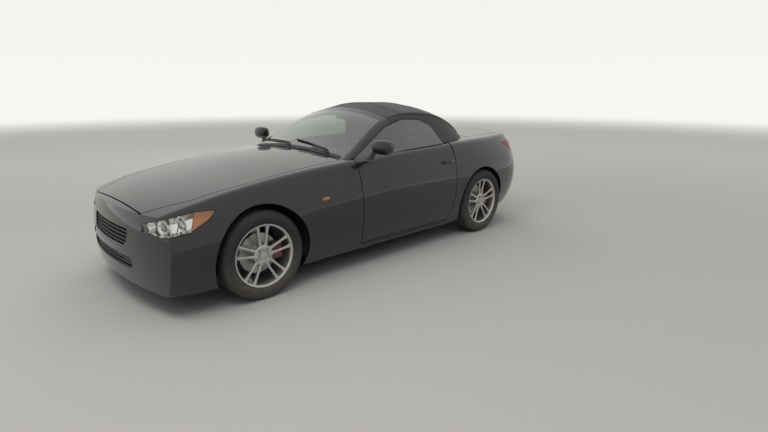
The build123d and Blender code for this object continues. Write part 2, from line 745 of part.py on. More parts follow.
# Build and save every piece
os.makedirs("parts", exist_ok=True)
save("front_bumper", front_bumper())
save("grille", grilles())
save("front_fenders", both(front_fender()))
save("bonnet", bonnet())
save("firewall", firewall())
save("floor_pan", floor_pan())
save("body_sides", both(body_side()))
save("rear_deck", rear_deck())
save("rear_bumper", rear_bumper())
save("boot_lid", boot_lid())
left_door = door()
save("door_left", left_door)
save("door_right", mirrored(left_door))
save("headlamps", both(panel(headlamp_zone)))
save("tail_lamps", both(cut(panel(tail_lamp_zone), lid_hole)))
save("windscreen_frame", windscreen_frame())
save("windscreen", cut(glass_sheet & windscreen_zone, above_body, bonnet_swing_room))
save("soft_top", soft_top())
save("rear_window", glass_sheet & rear_window_zone)
left_glass = (glass_sheet & window_zone) - above_body
save("door_glass_left", left_glass)
save("door_glass_right", mirrored(left_glass))
save("mirror_left", mirror_left())
save("mirror_right", mirrored(mirror_left()))
save("seats", both(seat()))
save("dashboard", dashboard())
save("console", console())
save("steering_wheel", steering_wheel())
save("engine_block", engine_block())
save("front_frame", front_frame())
save("rear_frame", rear_frame())
front_liner = arch_liner(front_axle_y, front_arch_radius, bay_half_width)
rear_liner = arch_liner(rear_axle_y, rear_arch_radius, rear_bay_half_width)
save("arch_liners", Compound(children=[*both(front_liner).solids(), *both(rear_liner).solids()]))
save("front_suspension", both(front_suspension()))
save("rear_axle", rear_axle())
save("exhaust", exhaust())
save("hinge_pins", hinge_pins())
save("knuckle_left", knuckle_left())
save("knuckle_right", mirrored(knuckle_left()))
tyre, rim, disc = wheel_parts()
for corner, track, axle_y, left in (
    ("front_left", front_track, front_axle_y, True),
    ("front_right", front_track, front_axle_y, False),
    ("rear_left", rear_track, rear_axle_y, True),
    ("rear_right", rear_track, rear_axle_y, False),
):
    save(f"tyre_{corner}", at_wheel(tyre, track, axle_y, left))
    save(f"rim_{corner}", at_wheel(rim, track, axle_y, left))
    save(f"disc_{corner}", at_wheel(disc, track, axle_y, left))
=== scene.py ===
import bmesh
import bpy
import json
import math
from contextlib import contextmanager
from mathutils import Matrix, Vector
from mathutils.bvhtree import BVHTree


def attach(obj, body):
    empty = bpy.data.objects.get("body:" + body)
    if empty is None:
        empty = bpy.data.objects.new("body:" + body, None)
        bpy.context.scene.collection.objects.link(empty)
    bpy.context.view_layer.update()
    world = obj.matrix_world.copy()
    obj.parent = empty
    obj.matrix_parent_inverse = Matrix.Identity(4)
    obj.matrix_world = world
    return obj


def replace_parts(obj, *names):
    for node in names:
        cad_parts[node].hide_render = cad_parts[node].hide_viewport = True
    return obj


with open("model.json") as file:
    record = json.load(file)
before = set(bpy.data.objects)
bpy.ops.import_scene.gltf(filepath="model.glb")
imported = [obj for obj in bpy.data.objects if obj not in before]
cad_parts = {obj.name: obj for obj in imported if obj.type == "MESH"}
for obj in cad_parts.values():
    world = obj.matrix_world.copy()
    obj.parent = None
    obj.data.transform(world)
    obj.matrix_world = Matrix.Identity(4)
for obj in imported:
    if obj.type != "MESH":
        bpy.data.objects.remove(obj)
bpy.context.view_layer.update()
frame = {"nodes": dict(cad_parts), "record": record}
scene = bpy.context.scene
BODY = "body"
X, Y, Z = Vector((1, 0, 0)), Vector((0, 1, 0)), Vector((0, 0, 1))

# Sizes that are shared with the solids, in metres
FRONT_AXLE, REAR_AXLE, AXLE_Z = -1.289, 1.206, 0.317
COLUMN_TILT = math.radians(25)
WHEEL_CENTRE = Vector((0.36, 0, 0.8))
SEAT_X = 0.36
NOSE_AXIS_Y = 0.555
NOSE_EDGE = ((0.1, -2.015), (0.4, -2.045), (0.66, -1.995))
# Each wheel's name, side, distance out and place along the car
WHEELS = (("front_left", 1, 0.7365, FRONT_AXLE), ("front_right", -1, 0.7365, FRONT_AXLE),
          ("rear_left", 1, 0.7615, REAR_AXLE), ("rear_right", -1, 0.7615, REAR_AXLE))
SIDES = (("left", 1), ("right", -1))


def vec(*xyz):
    return Vector(xyz)


def shares(count):
    """From 0 to 1 in even steps."""
    return [k / count for k in range(count + 1)]


def power(value, exponent):
    return math.copysign(abs(value) ** exponent, value)


def oval(count, a, b, e=1.0, f=None):
    """Points round a box with half sizes a and b, rounder as e and f come near 1."""
    turns = [math.tau * k / count for k in range(count)]
    return [(power(math.cos(t), e) * a, power(math.sin(t), f or e) * b) for t in turns]


# Materials
def node(tree, kind, ins=(), **settings):
    """A shader node with its settings, and its inputs by name or number: values, or outputs to link."""
    made = tree.nodes.new("ShaderNode" + kind)
    for key, value in settings.items():
        setattr(made, key, value)
    return fed(tree, made, dict(ins))


def fed(tree, made, ins):
    for key, value in ins.items():
        if hasattr(value, "is_linked"):
            tree.links.new(value, made.inputs[key])
        else:
            made.inputs[key].default_value = value
    return made


def maths(tree, kind, a, b):
    return node(tree, "Math", {0: a, 1: b}, operation=kind).outputs[0]


def ramp(tree, value, low, high, out_low=0.0, out_high=1.0, kind="SMOOTHSTEP"):
    ins = {"Value": value, "From Min": low, "From Max": high, "To Min": out_low, "To Max": out_high}
    return node(tree, "MapRange", ins, interpolation_type=kind).outputs[0]


def mix(tree, share, a, b):
    return node(tree, "Mix", {0: share, 6: a, 7: b}, data_type="RGBA").outputs[2]


def place(tree, scale=(1, 1, 1)):
    """A point's own place on its object, stretched."""
    ins = {"Vector": node(tree, "TexCoord").outputs["Object"], "Scale": scale}
    return node(tree, "Mapping", ins).outputs["Vector"]


def height_of(tree, vector):
    return node(tree, "SeparateXYZ", {0: vector}).outputs[2]


def noise(tree, size, detail, scale=(1, 1, 1)):
    ins = {"Vector": place(tree, scale), "Scale": 1 / size, "Detail": detail}
    return node(tree, "TexNoise", ins).outputs["Fac"]


def weave(tree, pitch):
    """Threads over and under, the same in all three directions."""
    parts = node(tree, "SeparateXYZ", {0: place(tree)})
    x, y, z = (maths(tree, "SINE", maths(tree, "MULTIPLY", part, math.tau / pitch), 0) for part in parts.outputs)
    mixed = maths(tree, "ADD", maths(tree, "MULTIPLY", x, y), maths(tree, "MULTIPLY", y, z))
    return maths(tree, "ADD", maths(tree, "MULTIPLY", mixed, 0.25), 0.5)


def grain(tree, size):
    ins = {"Vector": place(tree), "Scale": 1 / size}
    return node(tree, "TexVoronoi", ins, feature="SMOOTH_F1").outputs["Distance"]


def rings(tree, size, centre):
    """Fine turning marks round a wheel's axle."""
    at = node(tree, "TexCoord").outputs["Object"]
    at = node(tree, "VectorMath", {0: at, 1: centre}, operation="SUBTRACT").outputs[0]
    at = node(tree, "VectorMath", {0: at, 1: (0, 1, 1)}, operation="MULTIPLY").outputs[0]
    away = node(tree, "VectorMath", {0: at}, operation="LENGTH").outputs["Value"]
    ins = {"W": away, "Scale": 1 / size, "Detail": 2}
    return node(tree, "TexNoise", ins, noise_dimensions="1D").outputs["Fac"]


ROUGH_VARY = 0.12
DUST, DUST_TOP, DUST_FULL = (0.28, 0.25, 0.21, 1), 0.42, 0.12


def surface(name, color, rough, size, depth, pattern="noise", vary=0.12, dust=0.0, patch=0.12, centre=None, **sockets):
    """A material with its own colour variation, roughness variation and relief."""
    mat = bpy.data.materials.new(name)
    mat.use_nodes = True
    tree = mat.node_tree
    tree.nodes.clear()
    if pattern == "weave":
        relief = weave(tree, size)
    elif pattern == "grain":
        relief = grain(tree, size)
    elif pattern == "rings":
        relief = rings(tree, size, centre)
    elif pattern == "brush":
        relief = noise(tree, size, 2, (0.04, 1, 1))
    else:
        relief = noise(tree, size, 4)
    cloudy = noise(tree, patch, 4)
    mixed = maths(tree, "ADD", maths(tree, "MULTIPLY", cloudy, 0.7), maths(tree, "MULTIPLY", relief, 0.3))
    colour = mix(tree, mixed, [min(1, c * (1 - vary)) for c in color] + [1],
                 [min(1, c * (1 + vary) + 0.002) for c in color] + [1])
    if dust:
        low = ramp(tree, height_of(tree, place(tree)), DUST_TOP, DUST_FULL)
        amount = maths(tree, "MULTIPLY", maths(tree, "MULTIPLY", low, noise(tree, 0.03, 5)), dust)
        colour = mix(tree, amount, colour, DUST)
    spread = ramp(tree, cloudy, 0, 1, rough * (1 - ROUGH_VARY), min(1, rough * (1 + ROUGH_VARY)), "LINEAR")
    bump = node(tree, "Bump", {"Distance": depth, "Strength": 1, "Height": relief})
    ins = {key.replace("_", " "): value for key, value in sockets.items()}
    ins |= {"Base Color": colour, "Roughness": spread, "Normal": bump.outputs[0]}
    shader = node(tree, "BsdfPrincipled", ins)
    node(tree, "OutputMaterial", {"Surface": shader.outputs[0]})
    return mat


# Each material's colour, roughness, size and depth of relief, and what else sets it apart
LOOKS = {
    "paint": ((0.0052, 0.0062, 0.0052), 0.38, 0.0006, 0.000004,
              dict(vary=0.3, patch=0.5, dust=0.12, Metallic=0.1, Specular_IOR_Level=0.25, Coat_Weight=1,
                   Coat_Roughness=0.012, Coat_IOR=1.5)),
    "frame_metal": ((0.035, 0.035, 0.038), 0.45, 0.004, 0.0002, dict(dust=0.3)),
    "underbody": ((0.05, 0.05, 0.05), 0.85, 0.003, 0.0006, dict(dust=0.5)),
    "black_plastic": ((0.016, 0.016, 0.017), 0.5, 0.0011, 0.00012, dict(pattern="grain", dust=0.35)),
    "gloss_black": ((0.01, 0.01, 0.011), 0.12, 0.01, 0.00002, dict(Coat_Weight=0.6)),
    "lamp_clear": ((0.97, 0.98, 0.98), 0.015, 0.03, 0.00002, dict(vary=0.01, Transmission_Weight=1, IOR=1.35)),
    "lamp_red": ((0.75, 0.03, 0.03), 0.05, 0.03, 0.00004, dict(vary=0.05, Transmission_Weight=1, IOR=1.3)),
    "lamp_amber": ((1, 0.5, 0.18), 0.12, 0.004, 0.0001, dict(vary=0.05, Transmission_Weight=0.7, IOR=1.4)),
    "window": ((0.52, 0.6, 0.55), 0.006, 0.2, 0.00003,
               dict(vary=0.02, Transmission_Weight=1, IOR=1.5, Coat_Weight=1, Coat_Roughness=0.01, Coat_IOR=1.65)),
    "mirror_glass": ((0.85, 0.87, 0.88), 0.02, 0.1, 0.00001, dict(vary=0.01, Metallic=1)),
    "roof_cloth": ((0.022, 0.025, 0.021), 0.88, 0.0016, 0.00022,
                   dict(pattern="weave", vary=0.28, patch=0.22, Sheen_Weight=0.22, Sheen_Roughness=0.45)),
    "leather": ((0.03, 0.028, 0.027), 0.46, 0.0016, 0.00018, dict(pattern="grain", vary=0.2, Coat_Weight=0.08)),
    "stitch": ((0.16, 0.15, 0.14), 0.7, 0.0008, 0.0001, dict(pattern="weave")),
    "carpet": ((0.022, 0.022, 0.024), 0.95, 0.0015, 0.0012, dict(vary=0.4, Sheen_Weight=0.4)),
    "trim": ((0.024, 0.024, 0.026), 0.55, 0.0013, 0.0002, dict(pattern="grain", vary=0.15)),
    "trim_grey": ((0.2, 0.2, 0.2), 0.35, 0.001, 0.00003, dict(pattern="brush", vary=0.08, Metallic=0.7)),
    "rubber": ((0.014, 0.014, 0.014), 0.72, 0.0015, 0.0001, dict(vary=0.25)),
    "engine_metal": ((0.38, 0.38, 0.385), 0.5, 0.0012, 0.00025, dict(Metallic=0.9)),
    "steel": ((0.4, 0.39, 0.385), 0.36, 0.0012, 0.00004, dict(pattern="brush", vary=0.15, Metallic=1)),
    "chrome": ((0.72, 0.72, 0.73), 0.09, 0.02, 0.00001, dict(vary=0.05, Metallic=1)),
    "cast": ((0.11, 0.105, 0.1), 0.62, 0.0025, 0.0004, dict(vary=0.3, dust=0.2, Metallic=0.8)),
    "caliper": ((0.23, 0.055, 0.045), 0.42, 0.0015, 0.00012, dict(vary=0.2, Coat_Weight=0.25)),
    "alloy": ((0.48, 0.475, 0.465), 0.26, 0.0008, 0.00002,
              dict(vary=0.06, dust=0.15, Metallic=0.85, Coat_Weight=0.5, Coat_Roughness=0.08)),
    "tyre": ((0.02, 0.0195, 0.019), 0.78, 0.0018, 0.00018, dict(vary=0.3, patch=0.05, dust=0.3)),
    "reflector": ((0.9, 0.9, 0.88), 0.2, 0.006, 0.0001, dict(vary=0.05, Metallic=1)),
    "lamp_bulb": ((0.95, 0.95, 0.92), 0.05, 0.01, 0.00005, dict(vary=0.02, Transmission_Weight=0.9, IOR=1.45)),
    "lamp_white": ((0.75, 0.76, 0.76), 0.18, 0.003, 0.0002, dict(vary=0.03, Transmission_Weight=0.3)),
    "plate_blank": ((0.66, 0.66, 0.63), 0.4, 0.01, 0.00003, dict(vary=0.03)),
    "dial": ((0.012, 0.012, 0.013), 0.3, 0.001, 0.00002, {}),
    "dial_mark": ((0.72, 0.72, 0.7), 0.5, 0.002, 0.00001, dict(vary=0.03)),
    "radiator": ((0.3, 0.3, 0.3), 0.45, 0.0025, 0.0004, dict(pattern="brush", Metallic=0.9)),
    "tank": ((0.62, 0.61, 0.55), 0.5, 0.01, 0.00008, dict(vary=0.08, Transmission_Weight=0.15)),
    "cable": ((0.02, 0.02, 0.02), 0.5, 0.003, 0.0001, {}),
}
MAT = {name: surface(name, *row[:4], **row[4]) for name, row in LOOKS.items()}


def painted(name, mat):
    for holder in frame["nodes"][name].material_slots:
        holder.material = mat


for part in frame["record"]["subparts"]:
    painted(part["node"], MAT["gloss_black" if part["node"] == "hinge_pins" else part["material_slot"]])
for name, _, _, axle in WHEELS:
    painted("disc_" + name, surface("disc_" + name, (0.42, 0.41, 0.4), 0.34, 0.0009, 0.00006, "rings", 0.2,
                                    centre=(0, axle, AXLE_Z), Metallic=1))


# Meshes
def placed(name, data):
    """A new object in the scene."""
    obj = bpy.data.objects.new(name, data)
    scene.collection.objects.link(obj)
    return obj


def mesh_of(name, verts, faces):
    mesh = bpy.data.meshes.new(name)
    mesh.from_pydata([tuple(v) for v in verts], [], faces)
    return mesh


@contextmanager
def edited(mesh):
    form = bmesh.new()
    form.from_mesh(mesh)
    yield form
    form.to_mesh(mesh)
    form.free()


def moved_out(mesh, distance):
    """Moves each point along its normal, by a distance or by what a function gives for the point."""
    with edited(mesh) as form:
        form.normal_update()
        for v in form.verts:
            v.co += v.normal * (distance(v.co) if callable(distance) else distance)


def softened(mesh, rounds, factor=0.5):
    with edited(mesh) as form:
        for _ in range(rounds):
            bmesh.ops.smooth_vert(form, verts=form.verts, factor=factor, use_axis_x=True, use_axis_y=True,
                                  use_axis_z=True)


def applied(obj):
    """Bakes an object's modifiers into its mesh."""
    mesh = bpy.data.meshes.new_from_object(obj.evaluated_get(bpy.context.evaluated_depsgraph_get()))
    old = obj.data
    obj.modifiers.clear()
    obj.data = mesh
    bpy.data.meshes.remove(old)


def modified(obj, kind, **settings):
    """Bakes one modifier into an object's mesh."""
    modifier = obj.modifiers.new(kind.lower(), kind)
    for key, value in settings.items():
        setattr(modifier, key, value)
    applied(obj)


def shaded(mesh, angle):
    mesh.shade_smooth()
    mesh.set_sharp_from_angle(angle=math.radians(angle))


def finish_piece(obj, mat, body=BODY):
    obj.data.materials.clear()
    obj.data.materials.append(MAT[mat])
    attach(obj, body)
    return obj


def across(axis):
    """Two directions square to an axis and to each other."""
    side = axis.cross(Z if abs(axis.z) < 0.9 else X).normalized()
    return side, axis.cross(side)


class Form:
    """Collects vertices and faces for one piece."""

    def __init__(self):
        self.verts, self.faces = [], []

    def add(self, verts, faces):
        start = len(self.verts)
        self.verts += [Vector(v) for v in verts]
        self.faces += [tuple(i + start for i in face) for face in faces]
        return self

    def loft(self, loops, closed=True, caps=True, around=False):
        """Skins a row of loops that have the same number of points."""
        count, rows = len(loops[0]), len(loops)
        faces = []
        for r in range(rows if around else rows - 1):
            for c in range(count if closed else count - 1):
                here, ahead = r * count, (r + 1) % rows * count
                faces.append((here + c, here + (c + 1) % count, ahead + (c + 1) % count, ahead + c))
        if caps and not around:
            faces += [tuple(range(count))[::-1], tuple(range((rows - 1) * count, rows * count))]
        return self.add([p for loop in loops for p in loop], faces)

    def sweep(self, path, radius, sides=8, closed=False, flat=1.0, up=None):
        """A round or flattened bar along a path."""
        path = [Vector(p) for p in path]
        loops, side = [], None
        for k, p in enumerate(path):
            if closed:
                ahead = path[(k + 1) % len(path)] - path[k - 1]
            else:
                ahead = path[min(k + 1, len(path) - 1)] - path[max(k - 1, 0)]
            ahead.normalize()
            if up is not None:
                side = up.cross(ahead).normalized()
            elif side is None:
                side = across(ahead)[0]
            else:
                side = (side - ahead * side.dot(ahead)).normalized()
            over = ahead.cross(side)
            r = radius[k] if isinstance(radius, (list, tuple)) else radius
            loops.append([p + side * a + over * b for a, b in oval(sides, r, r * flat)])
        return self.loft(loops, caps=not closed, around=closed)

    def turned(self, profile, centre, axis, sides=32):
        """A profile of (distance along the axis, radius) turned about the axis."""
        axis = Vector(axis).normalized()
        side, over = across(axis)
        loops = [[Vector(centre) + axis * a + (side * c + over * s) * r for a, r in profile]
                 for c, s in oval(sides, 1, 1)]
        return self.loft(loops, closed=False, caps=False, around=True)

    def bar(self, centre, size, bevel=0.002, turn=None, segments=2):
        """A block with rounded edges."""
        form = bmesh.new()
        bmesh.ops.create_cube(form, size=1.0)
        bmesh.ops.scale(form, vec=Vector(size), verts=form.verts)
        bmesh.ops.bevel(form, geom=form.edges[:], offset=min(bevel, min(size) * 0.45), segments=segments,
                        affect="EDGES")
        matrix = Matrix.Translation(Vector(centre))
        if turn is not None:
            matrix = matrix @ turn.to_4x4()
        bmesh.ops.transform(form, matrix=matrix, verts=form.verts)
        form.verts.index_update()
        self.add([v.co.copy() for v in form.verts], [[v.index for v in f.verts] for f in form.faces])
        form.free()
        return self

    def ball(self, centre, radius, squash=(1, 1, 1), sides=16):
        loops = []
        for lat in (math.pi * share for share in shares(sides // 2)):
            loops.append([Vector(centre) + vec(math.sin(lat) * c * squash[0], math.sin(lat) * s * squash[1],
                                               math.cos(lat) * squash[2]) * radius for c, s in oval(sides, 1, 1)])
        return self.loft(loops, caps=False)

    def shell(self, outer, inner):
        """A closed thin solid between two grids."""
        rows, columns = len(outer), len(outer[0])
        shift = rows * columns
        faces = []
        for r in range(rows - 1):
            for c in range(columns - 1):
                a, d = r * columns + c, (r + 1) * columns + c
                faces += [(a, a + 1, d + 1, d), (a + shift, d + shift, d + 1 + shift, a + 1 + shift)]
        edge = list(range(columns)) + [r * columns + columns - 1 for r in range(1, rows)]
        edge += [shift - columns + c for c in range(columns - 2, -1, -1)]
        edge += [r * columns for r in range(rows - 2, 0, -1)]
        faces += [(a, a + shift, b + shift, b) for a, b in zip(edge, edge[1:] + edge[:1])]
        return self.add([p for line in outer + inner for p in line], faces)

    def mirrored(self):
        self.verts = [vec(-v.x, v.y, v.z) for v in self.verts]
        self.faces = [face[::-1] for face in self.faces]
        return self

    def with_mirror(self):
        return self.add([(-v.x, v.y, v.z) for v in self.verts], [face[::-1] for face in self.faces])

    def made(self, name, mat, angle=32, body=BODY):
        mesh = mesh_of(name, self.verts, self.faces)
        with edited(mesh) as form:
            bmesh.ops.remove_doubles(form, verts=form.verts, dist=1e-6)
            bmesh.ops.recalc_face_normals(form, faces=form.faces)
        shaded(mesh, angle)
        return finish_piece(placed(name, mesh), mat, body)


def smooth_path(points, steps=6, closed=False):
    """A smooth line through the points."""
    pts = [Vector(p) for p in points]
    count = len(pts)
    line = []
    for k in range(count if closed else count - 1):
        if closed:
            a, b, c, d = pts[k - 1], pts[k], pts[(k + 1) % count], pts[(k + 2) % count]
        else:
            a, b, c, d = pts[max(k - 1, 0)], pts[k], pts[k + 1], pts[min(k + 2, count - 1)]
        for s in range(steps):
            t = s / steps
            line.append(0.5 * ((2 * b) + (c - a) * t + (2 * a - 5 * b + 4 * c - d) * t * t
                               + (3 * b - a - 3 * c + d) * t ** 3))
    return line if closed else line + pts[-1:]


def even(points, spacing, closed=True):
    """The same line with points at an even spacing."""
    pts = [Vector(p) for p in points] + ([Vector(points[0])] if closed else [])
    lengths = [(b - a).length for a, b in zip(pts, pts[1:])]
    total = sum(lengths)
    count = max(4, int(total / spacing))
    out, walked, k = [], 0.0, 0
    for m in range(count + (0 if closed else 1)):
        target = min(m * (total / count), total - 1e-9)
        while k < len(lengths) - 1 and walked + lengths[k] < target:
            walked += lengths[k]
            k += 1
        out.append(pts[k].lerp(pts[k + 1], min(1.0, (target - walked) / max(lengths[k], 1e-9))))
    return out


def stitches(form, path, spacing, length, radius, lift):
    """Single stitches along a line of (point, way out) pairs."""
    rows = even([p for p, _ in path], spacing, False)
    for a, b in zip(rows, rows[1:]):
        middle = a.lerp(b, 0.5)
        half = (b - a).normalized() * length / 2
        out = min(path, key=lambda item: (item[0] - middle).length_squared)[1]
        a, b = middle + out * lift - half, middle + out * lift + half
        form.sweep([a - out * radius, a.lerp(b, 0.25), a.lerp(b, 0.75), b - out * radius], radius, 4)


def tree_of(*names):
    verts, faces = [], []
    for name in names:
        mesh = frame["nodes"][name].data
        start = len(verts)
        verts += [v.co.copy() for v in mesh.vertices]
        faces += [tuple(i + start for i in p.vertices) for p in mesh.polygons]
    return BVHTree.FromPolygons(verts, faces)


SKIN = tree_of("front_bumper", "front_fenders", "bonnet", "body_sides", "rear_deck", "rear_bumper", "boot_lid",
               "door_left", "door_right", "firewall", "headlamps", "tail_lamps")
DOOR = {side: tree_of("door_" + word) for word, side in SIDES}


def on_skin(origin, direction, tree=SKIN):
    """Where a line from outside meets the body, and the way the body faces there."""
    hit, normal = tree.ray_cast(Vector(origin), Vector(direction).normalized())[:2]
    if hit is None:
        hit, normal = tree.find_nearest(Vector(origin))[:2]
    return hit, (-normal if normal.dot(Vector(direction)) > 0 else normal)


def from_side(side, y, z, tree=SKIN):
    return on_skin((side * 1.5, y, z), (-side, 0, 0), tree)


def below(tree, x, y, top=2.0):
    """What lies below a point: the place and its normal, or two times None."""
    return tree.ray_cast(vec(x, y, top), -Z)[:2]


# Stage, lights and camera
WALL, SKY_TOP = (0.93, 0.925, 0.9, 1), (0.9, 0.895, 0.865, 1)


def straight_ray(tree):
    """1 for what looks straight at a thing, mirrors it or sees it through glass."""
    ray = node(tree, "LightPath").outputs
    seen = maths(tree, "MAXIMUM", ray["Is Camera Ray"], ray["Is Glossy Ray"])
    return maths(tree, "MAXIMUM", seen, ray["Is Transmission Ray"]), ray["Is Glossy Ray"]


def floor_material():
    mat = bpy.data.materials.new("floor")
    mat.use_nodes = True
    tree = mat.node_tree
    away = node(tree, "VectorMath", {0: node(tree, "TexCoord").outputs["Object"]}, operation="LENGTH").outputs["Value"]
    # Painted shade and light: the floor's colour is darker and warmer within a few metres of the car and lighter and
    # greener far out, standing in for how the studio light falls on it
    shade = mix(tree, ramp(tree, away, 2.5, 10), (0.352, 0.344, 0.336, 1), (0.462, 0.47, 0.438, 1))
    shader = fed(tree, tree.nodes["Principled BSDF"],
                 {"Roughness": 0.7, "Specular IOR Level": 0.25, "Base Color": shade})
    # Far away the floor runs up into a white wall
    glow = node(tree, "Emission", {"Strength": 1, "Color": WALL})
    share = maths(tree, "MULTIPLY", straight_ray(tree)[0], ramp(tree, away, 13.5, 24))
    both = node(tree, "MixShader", {0: share, 1: shader.outputs[0], 2: glow.outputs[0]})
    fed(tree, tree.nodes["Material Output"], {"Surface": both.outputs[0]})
    return mat


def sky():
    """Dim at the horizon and bright overhead as a light, and plain white where it is seen."""
    world = bpy.data.worlds.new("studio")
    world.use_nodes = True
    scene.world = world
    tree = world.node_tree
    tree.nodes.clear()
    height = height_of(tree, node(tree, "TexCoord").outputs["Generated"])
    seen = mix(tree, ramp(tree, height, -0.02, 0.16), WALL, SKY_TOP)
    overhead = ramp(tree, height, 0.1, 0.75, 0.16, 1.12)
    lit = node(tree, "Background", {"Color": (1, 0.99, 0.97, 1), "Strength": overhead})
    straight, glossy = straight_ray(tree)
    dimmed = maths(tree, "SUBTRACT", 1, maths(tree, "MULTIPLY", glossy, 0.22))
    shown = node(tree, "Background", {"Color": seen, "Strength": dimmed})
    choice = node(tree, "MixShader", {0: straight, 1: lit.outputs[0], 2: shown.outputs[0]})
    node(tree, "OutputWorld", {"Surface": choice.outputs[0]})


def lamp(name, spot, target, size, watts):
    data = bpy.data.lights.new(name, "AREA")
    data.shape = "RECTANGLE"
    data.size, data.size_y = size
    data.energy = watts
    obj = placed(name, data)
    obj.location = spot
    obj.rotation_euler = (Vector(target) - Vector(spot)).to_track_quat("-Z", "Y").to_euler()
    obj.visible_glossy = obj.visible_transmission = False


floor = placed("floor", mesh_of("floor", [(-60, -60, 0), (60, -60, 0), (60, 60, 0), (-60, 60, 0)], [(0, 1, 2, 3)]))
floor.data.materials.append(floor_material())
sky()
lamp("key", (1.5, -3.5, 5.5), (0, 0, 0.4), (5, 2), 170)
lamp("fill", (-5.5, 3, 4.5), (0, 0, 0.6), (4, 2.5), 110)

camera = placed("camera", bpy.data.cameras.new("camera"))
camera.data.lens, camera.data.sensor_width, camera.data.clip_end = 23.23, 36, 200
camera.location = (3.739, -2.935, 1.446)
yaw, pitch = math.radians(-46.26), math.radians(-14.62)
ahead = vec(math.sin(yaw) * math.cos(pitch), math.cos(yaw) * math.cos(pitch), math.sin(pitch))
camera.rotation_euler = ahead.to_track_quat("-Z", "Y").to_euler()
scene.camera = camera
scene.view_settings.view_transform = "Standard"
scene.cycles.max_bounces = 14


# Wheels
TREAD_STEPS = 272
TREAD_CUTS = (0, 0.0012, 0.004, 0.0062)
SIPE_EDGE, SIPE, RIB = 4, 5, 6


def tyre_profile():
    """(distance out, radius, what is cut there) across the tyre, from the inner bead to the outer one."""
    half = [(x, r, 0) for x, r in (
        (0.078, 0.2162), (0.092, 0.218), (0.0935, 0.227), (0.0995, 0.2295), (0.1045, 0.236), (0.1085, 0.245),
        (0.1105, 0.2535), (0.1118, 0.2545), (0.1119, 0.2585), (0.111, 0.2595), (0.1112, 0.268), (0.1117, 0.269),
        (0.1117, 0.2705), (0.1107, 0.2715), (0.1095, 0.281), (0.107, 0.29))]
    half += [(0.1045, 0.2965, 1), (0.1, 0.3045, 2), (0.0925, 0.3105, 3), (0.084, 0.3145, 3), (0.072, 0.316, 3),
             (0.061, 0.3164, 2)]
    for middle in (0.053, 0.019):
        half += [(middle + 0.0052, 0.3166, 0), (middle + 0.0038, 0.3092, 0), (middle - 0.0038, 0.3092, 0),
                 (middle - 0.0052, 0.3168, 0)]
        if middle > 0.04:
            half += [(0.044, 0.3168, SIPE_EDGE), (0.036, 0.3169, SIPE), (0.028, 0.3169, SIPE_EDGE)]
        else:
            half += [(0.01, 0.317, RIB), (0, 0.317, RIB)]
    return [(-x, r, w) for x, r, w in half] + half[-2::-1]


def tread_cut(k, x, what):
    if what in (1, 2, 3) and (k + (2 if x > 0 else 0)) % 4 == 0:
        return TREAD_CUTS[what]
    if what in (SIPE_EDGE, SIPE) and (k + int(abs(x) * 120)) % 8 == 0:
        return 0.0045
    return 0.003 if what == RIB and k % 8 == 4 else 0


BARREL = [(-0.102, 0.206), (-0.102, 0.225), (-0.1, 0.2268), (-0.095, 0.2265), (-0.0923, 0.2245), (-0.0923, 0.2158),
          (-0.07, 0.215), (-0.06, 0.21), (-0.02, 0.2065), (0.02, 0.2065), (0.06, 0.21), (0.07, 0.215),
          (0.0923, 0.2158), (0.0923, 0.2245), (0.0945, 0.2265), (0.099, 0.227), (0.1015, 0.2255), (0.102, 0.223),
          (0.1005, 0.218), (0.0965, 0.2125), (0.091, 0.2085), (0.08, 0.2065), (0.062, 0.2045), (0.02, 0.2005),
          (-0.02, 0.2005), (-0.062, 0.204), (-0.095, 0.2045)]
HUB = [(0.045, 0.0325), (0.045, 0.076), (0.07, 0.0765), (0.0795, 0.0735), (0.0835, 0.068), (0.0845, 0.062),
       (0.0845, 0.04), (0.083, 0.037), (0.078, 0.036), (0.078, 0.033)]
# Along a spoke: radius, distance from the pair's middle, width, outer face and inner face
SPOKE = [(0.04, 0.013, 0.034, 0.082, 0.052), (0.06, 0.0165, 0.03, 0.0825, 0.054),
         (0.085, 0.0215, 0.023, 0.0835, 0.06), (0.115, 0.0265, 0.0195, 0.0855, 0.064),
         (0.145, 0.0305, 0.019, 0.088, 0.067), (0.172, 0.034, 0.0205, 0.091, 0.069),
         (0.192, 0.0365, 0.025, 0.094, 0.07), (0.2045, 0.038, 0.034, 0.0955, 0.071),
         (0.2075, 0.038, 0.042, 0.096, 0.07)]
BOLT_SEAT = [(-0.004, 0), (-0.004, 0.0125), (0.001, 0.0125), (0.0022, 0.0108)]
BOLT_HEAD = [(0.001, 0.0088), (0.0085, 0.0088), (0.01, 0.0074), (0.01, 0)]
WHEEL_CAP = [(-0.012, 0), (-0.012, 0.031), (0.0045, 0.0325), (0.0062, 0.031), (0.0064, 0.0285), (0.0052, 0.027),
             (0.0056, 0.024), (0.0072, 0.014), (0.0076, 0)]


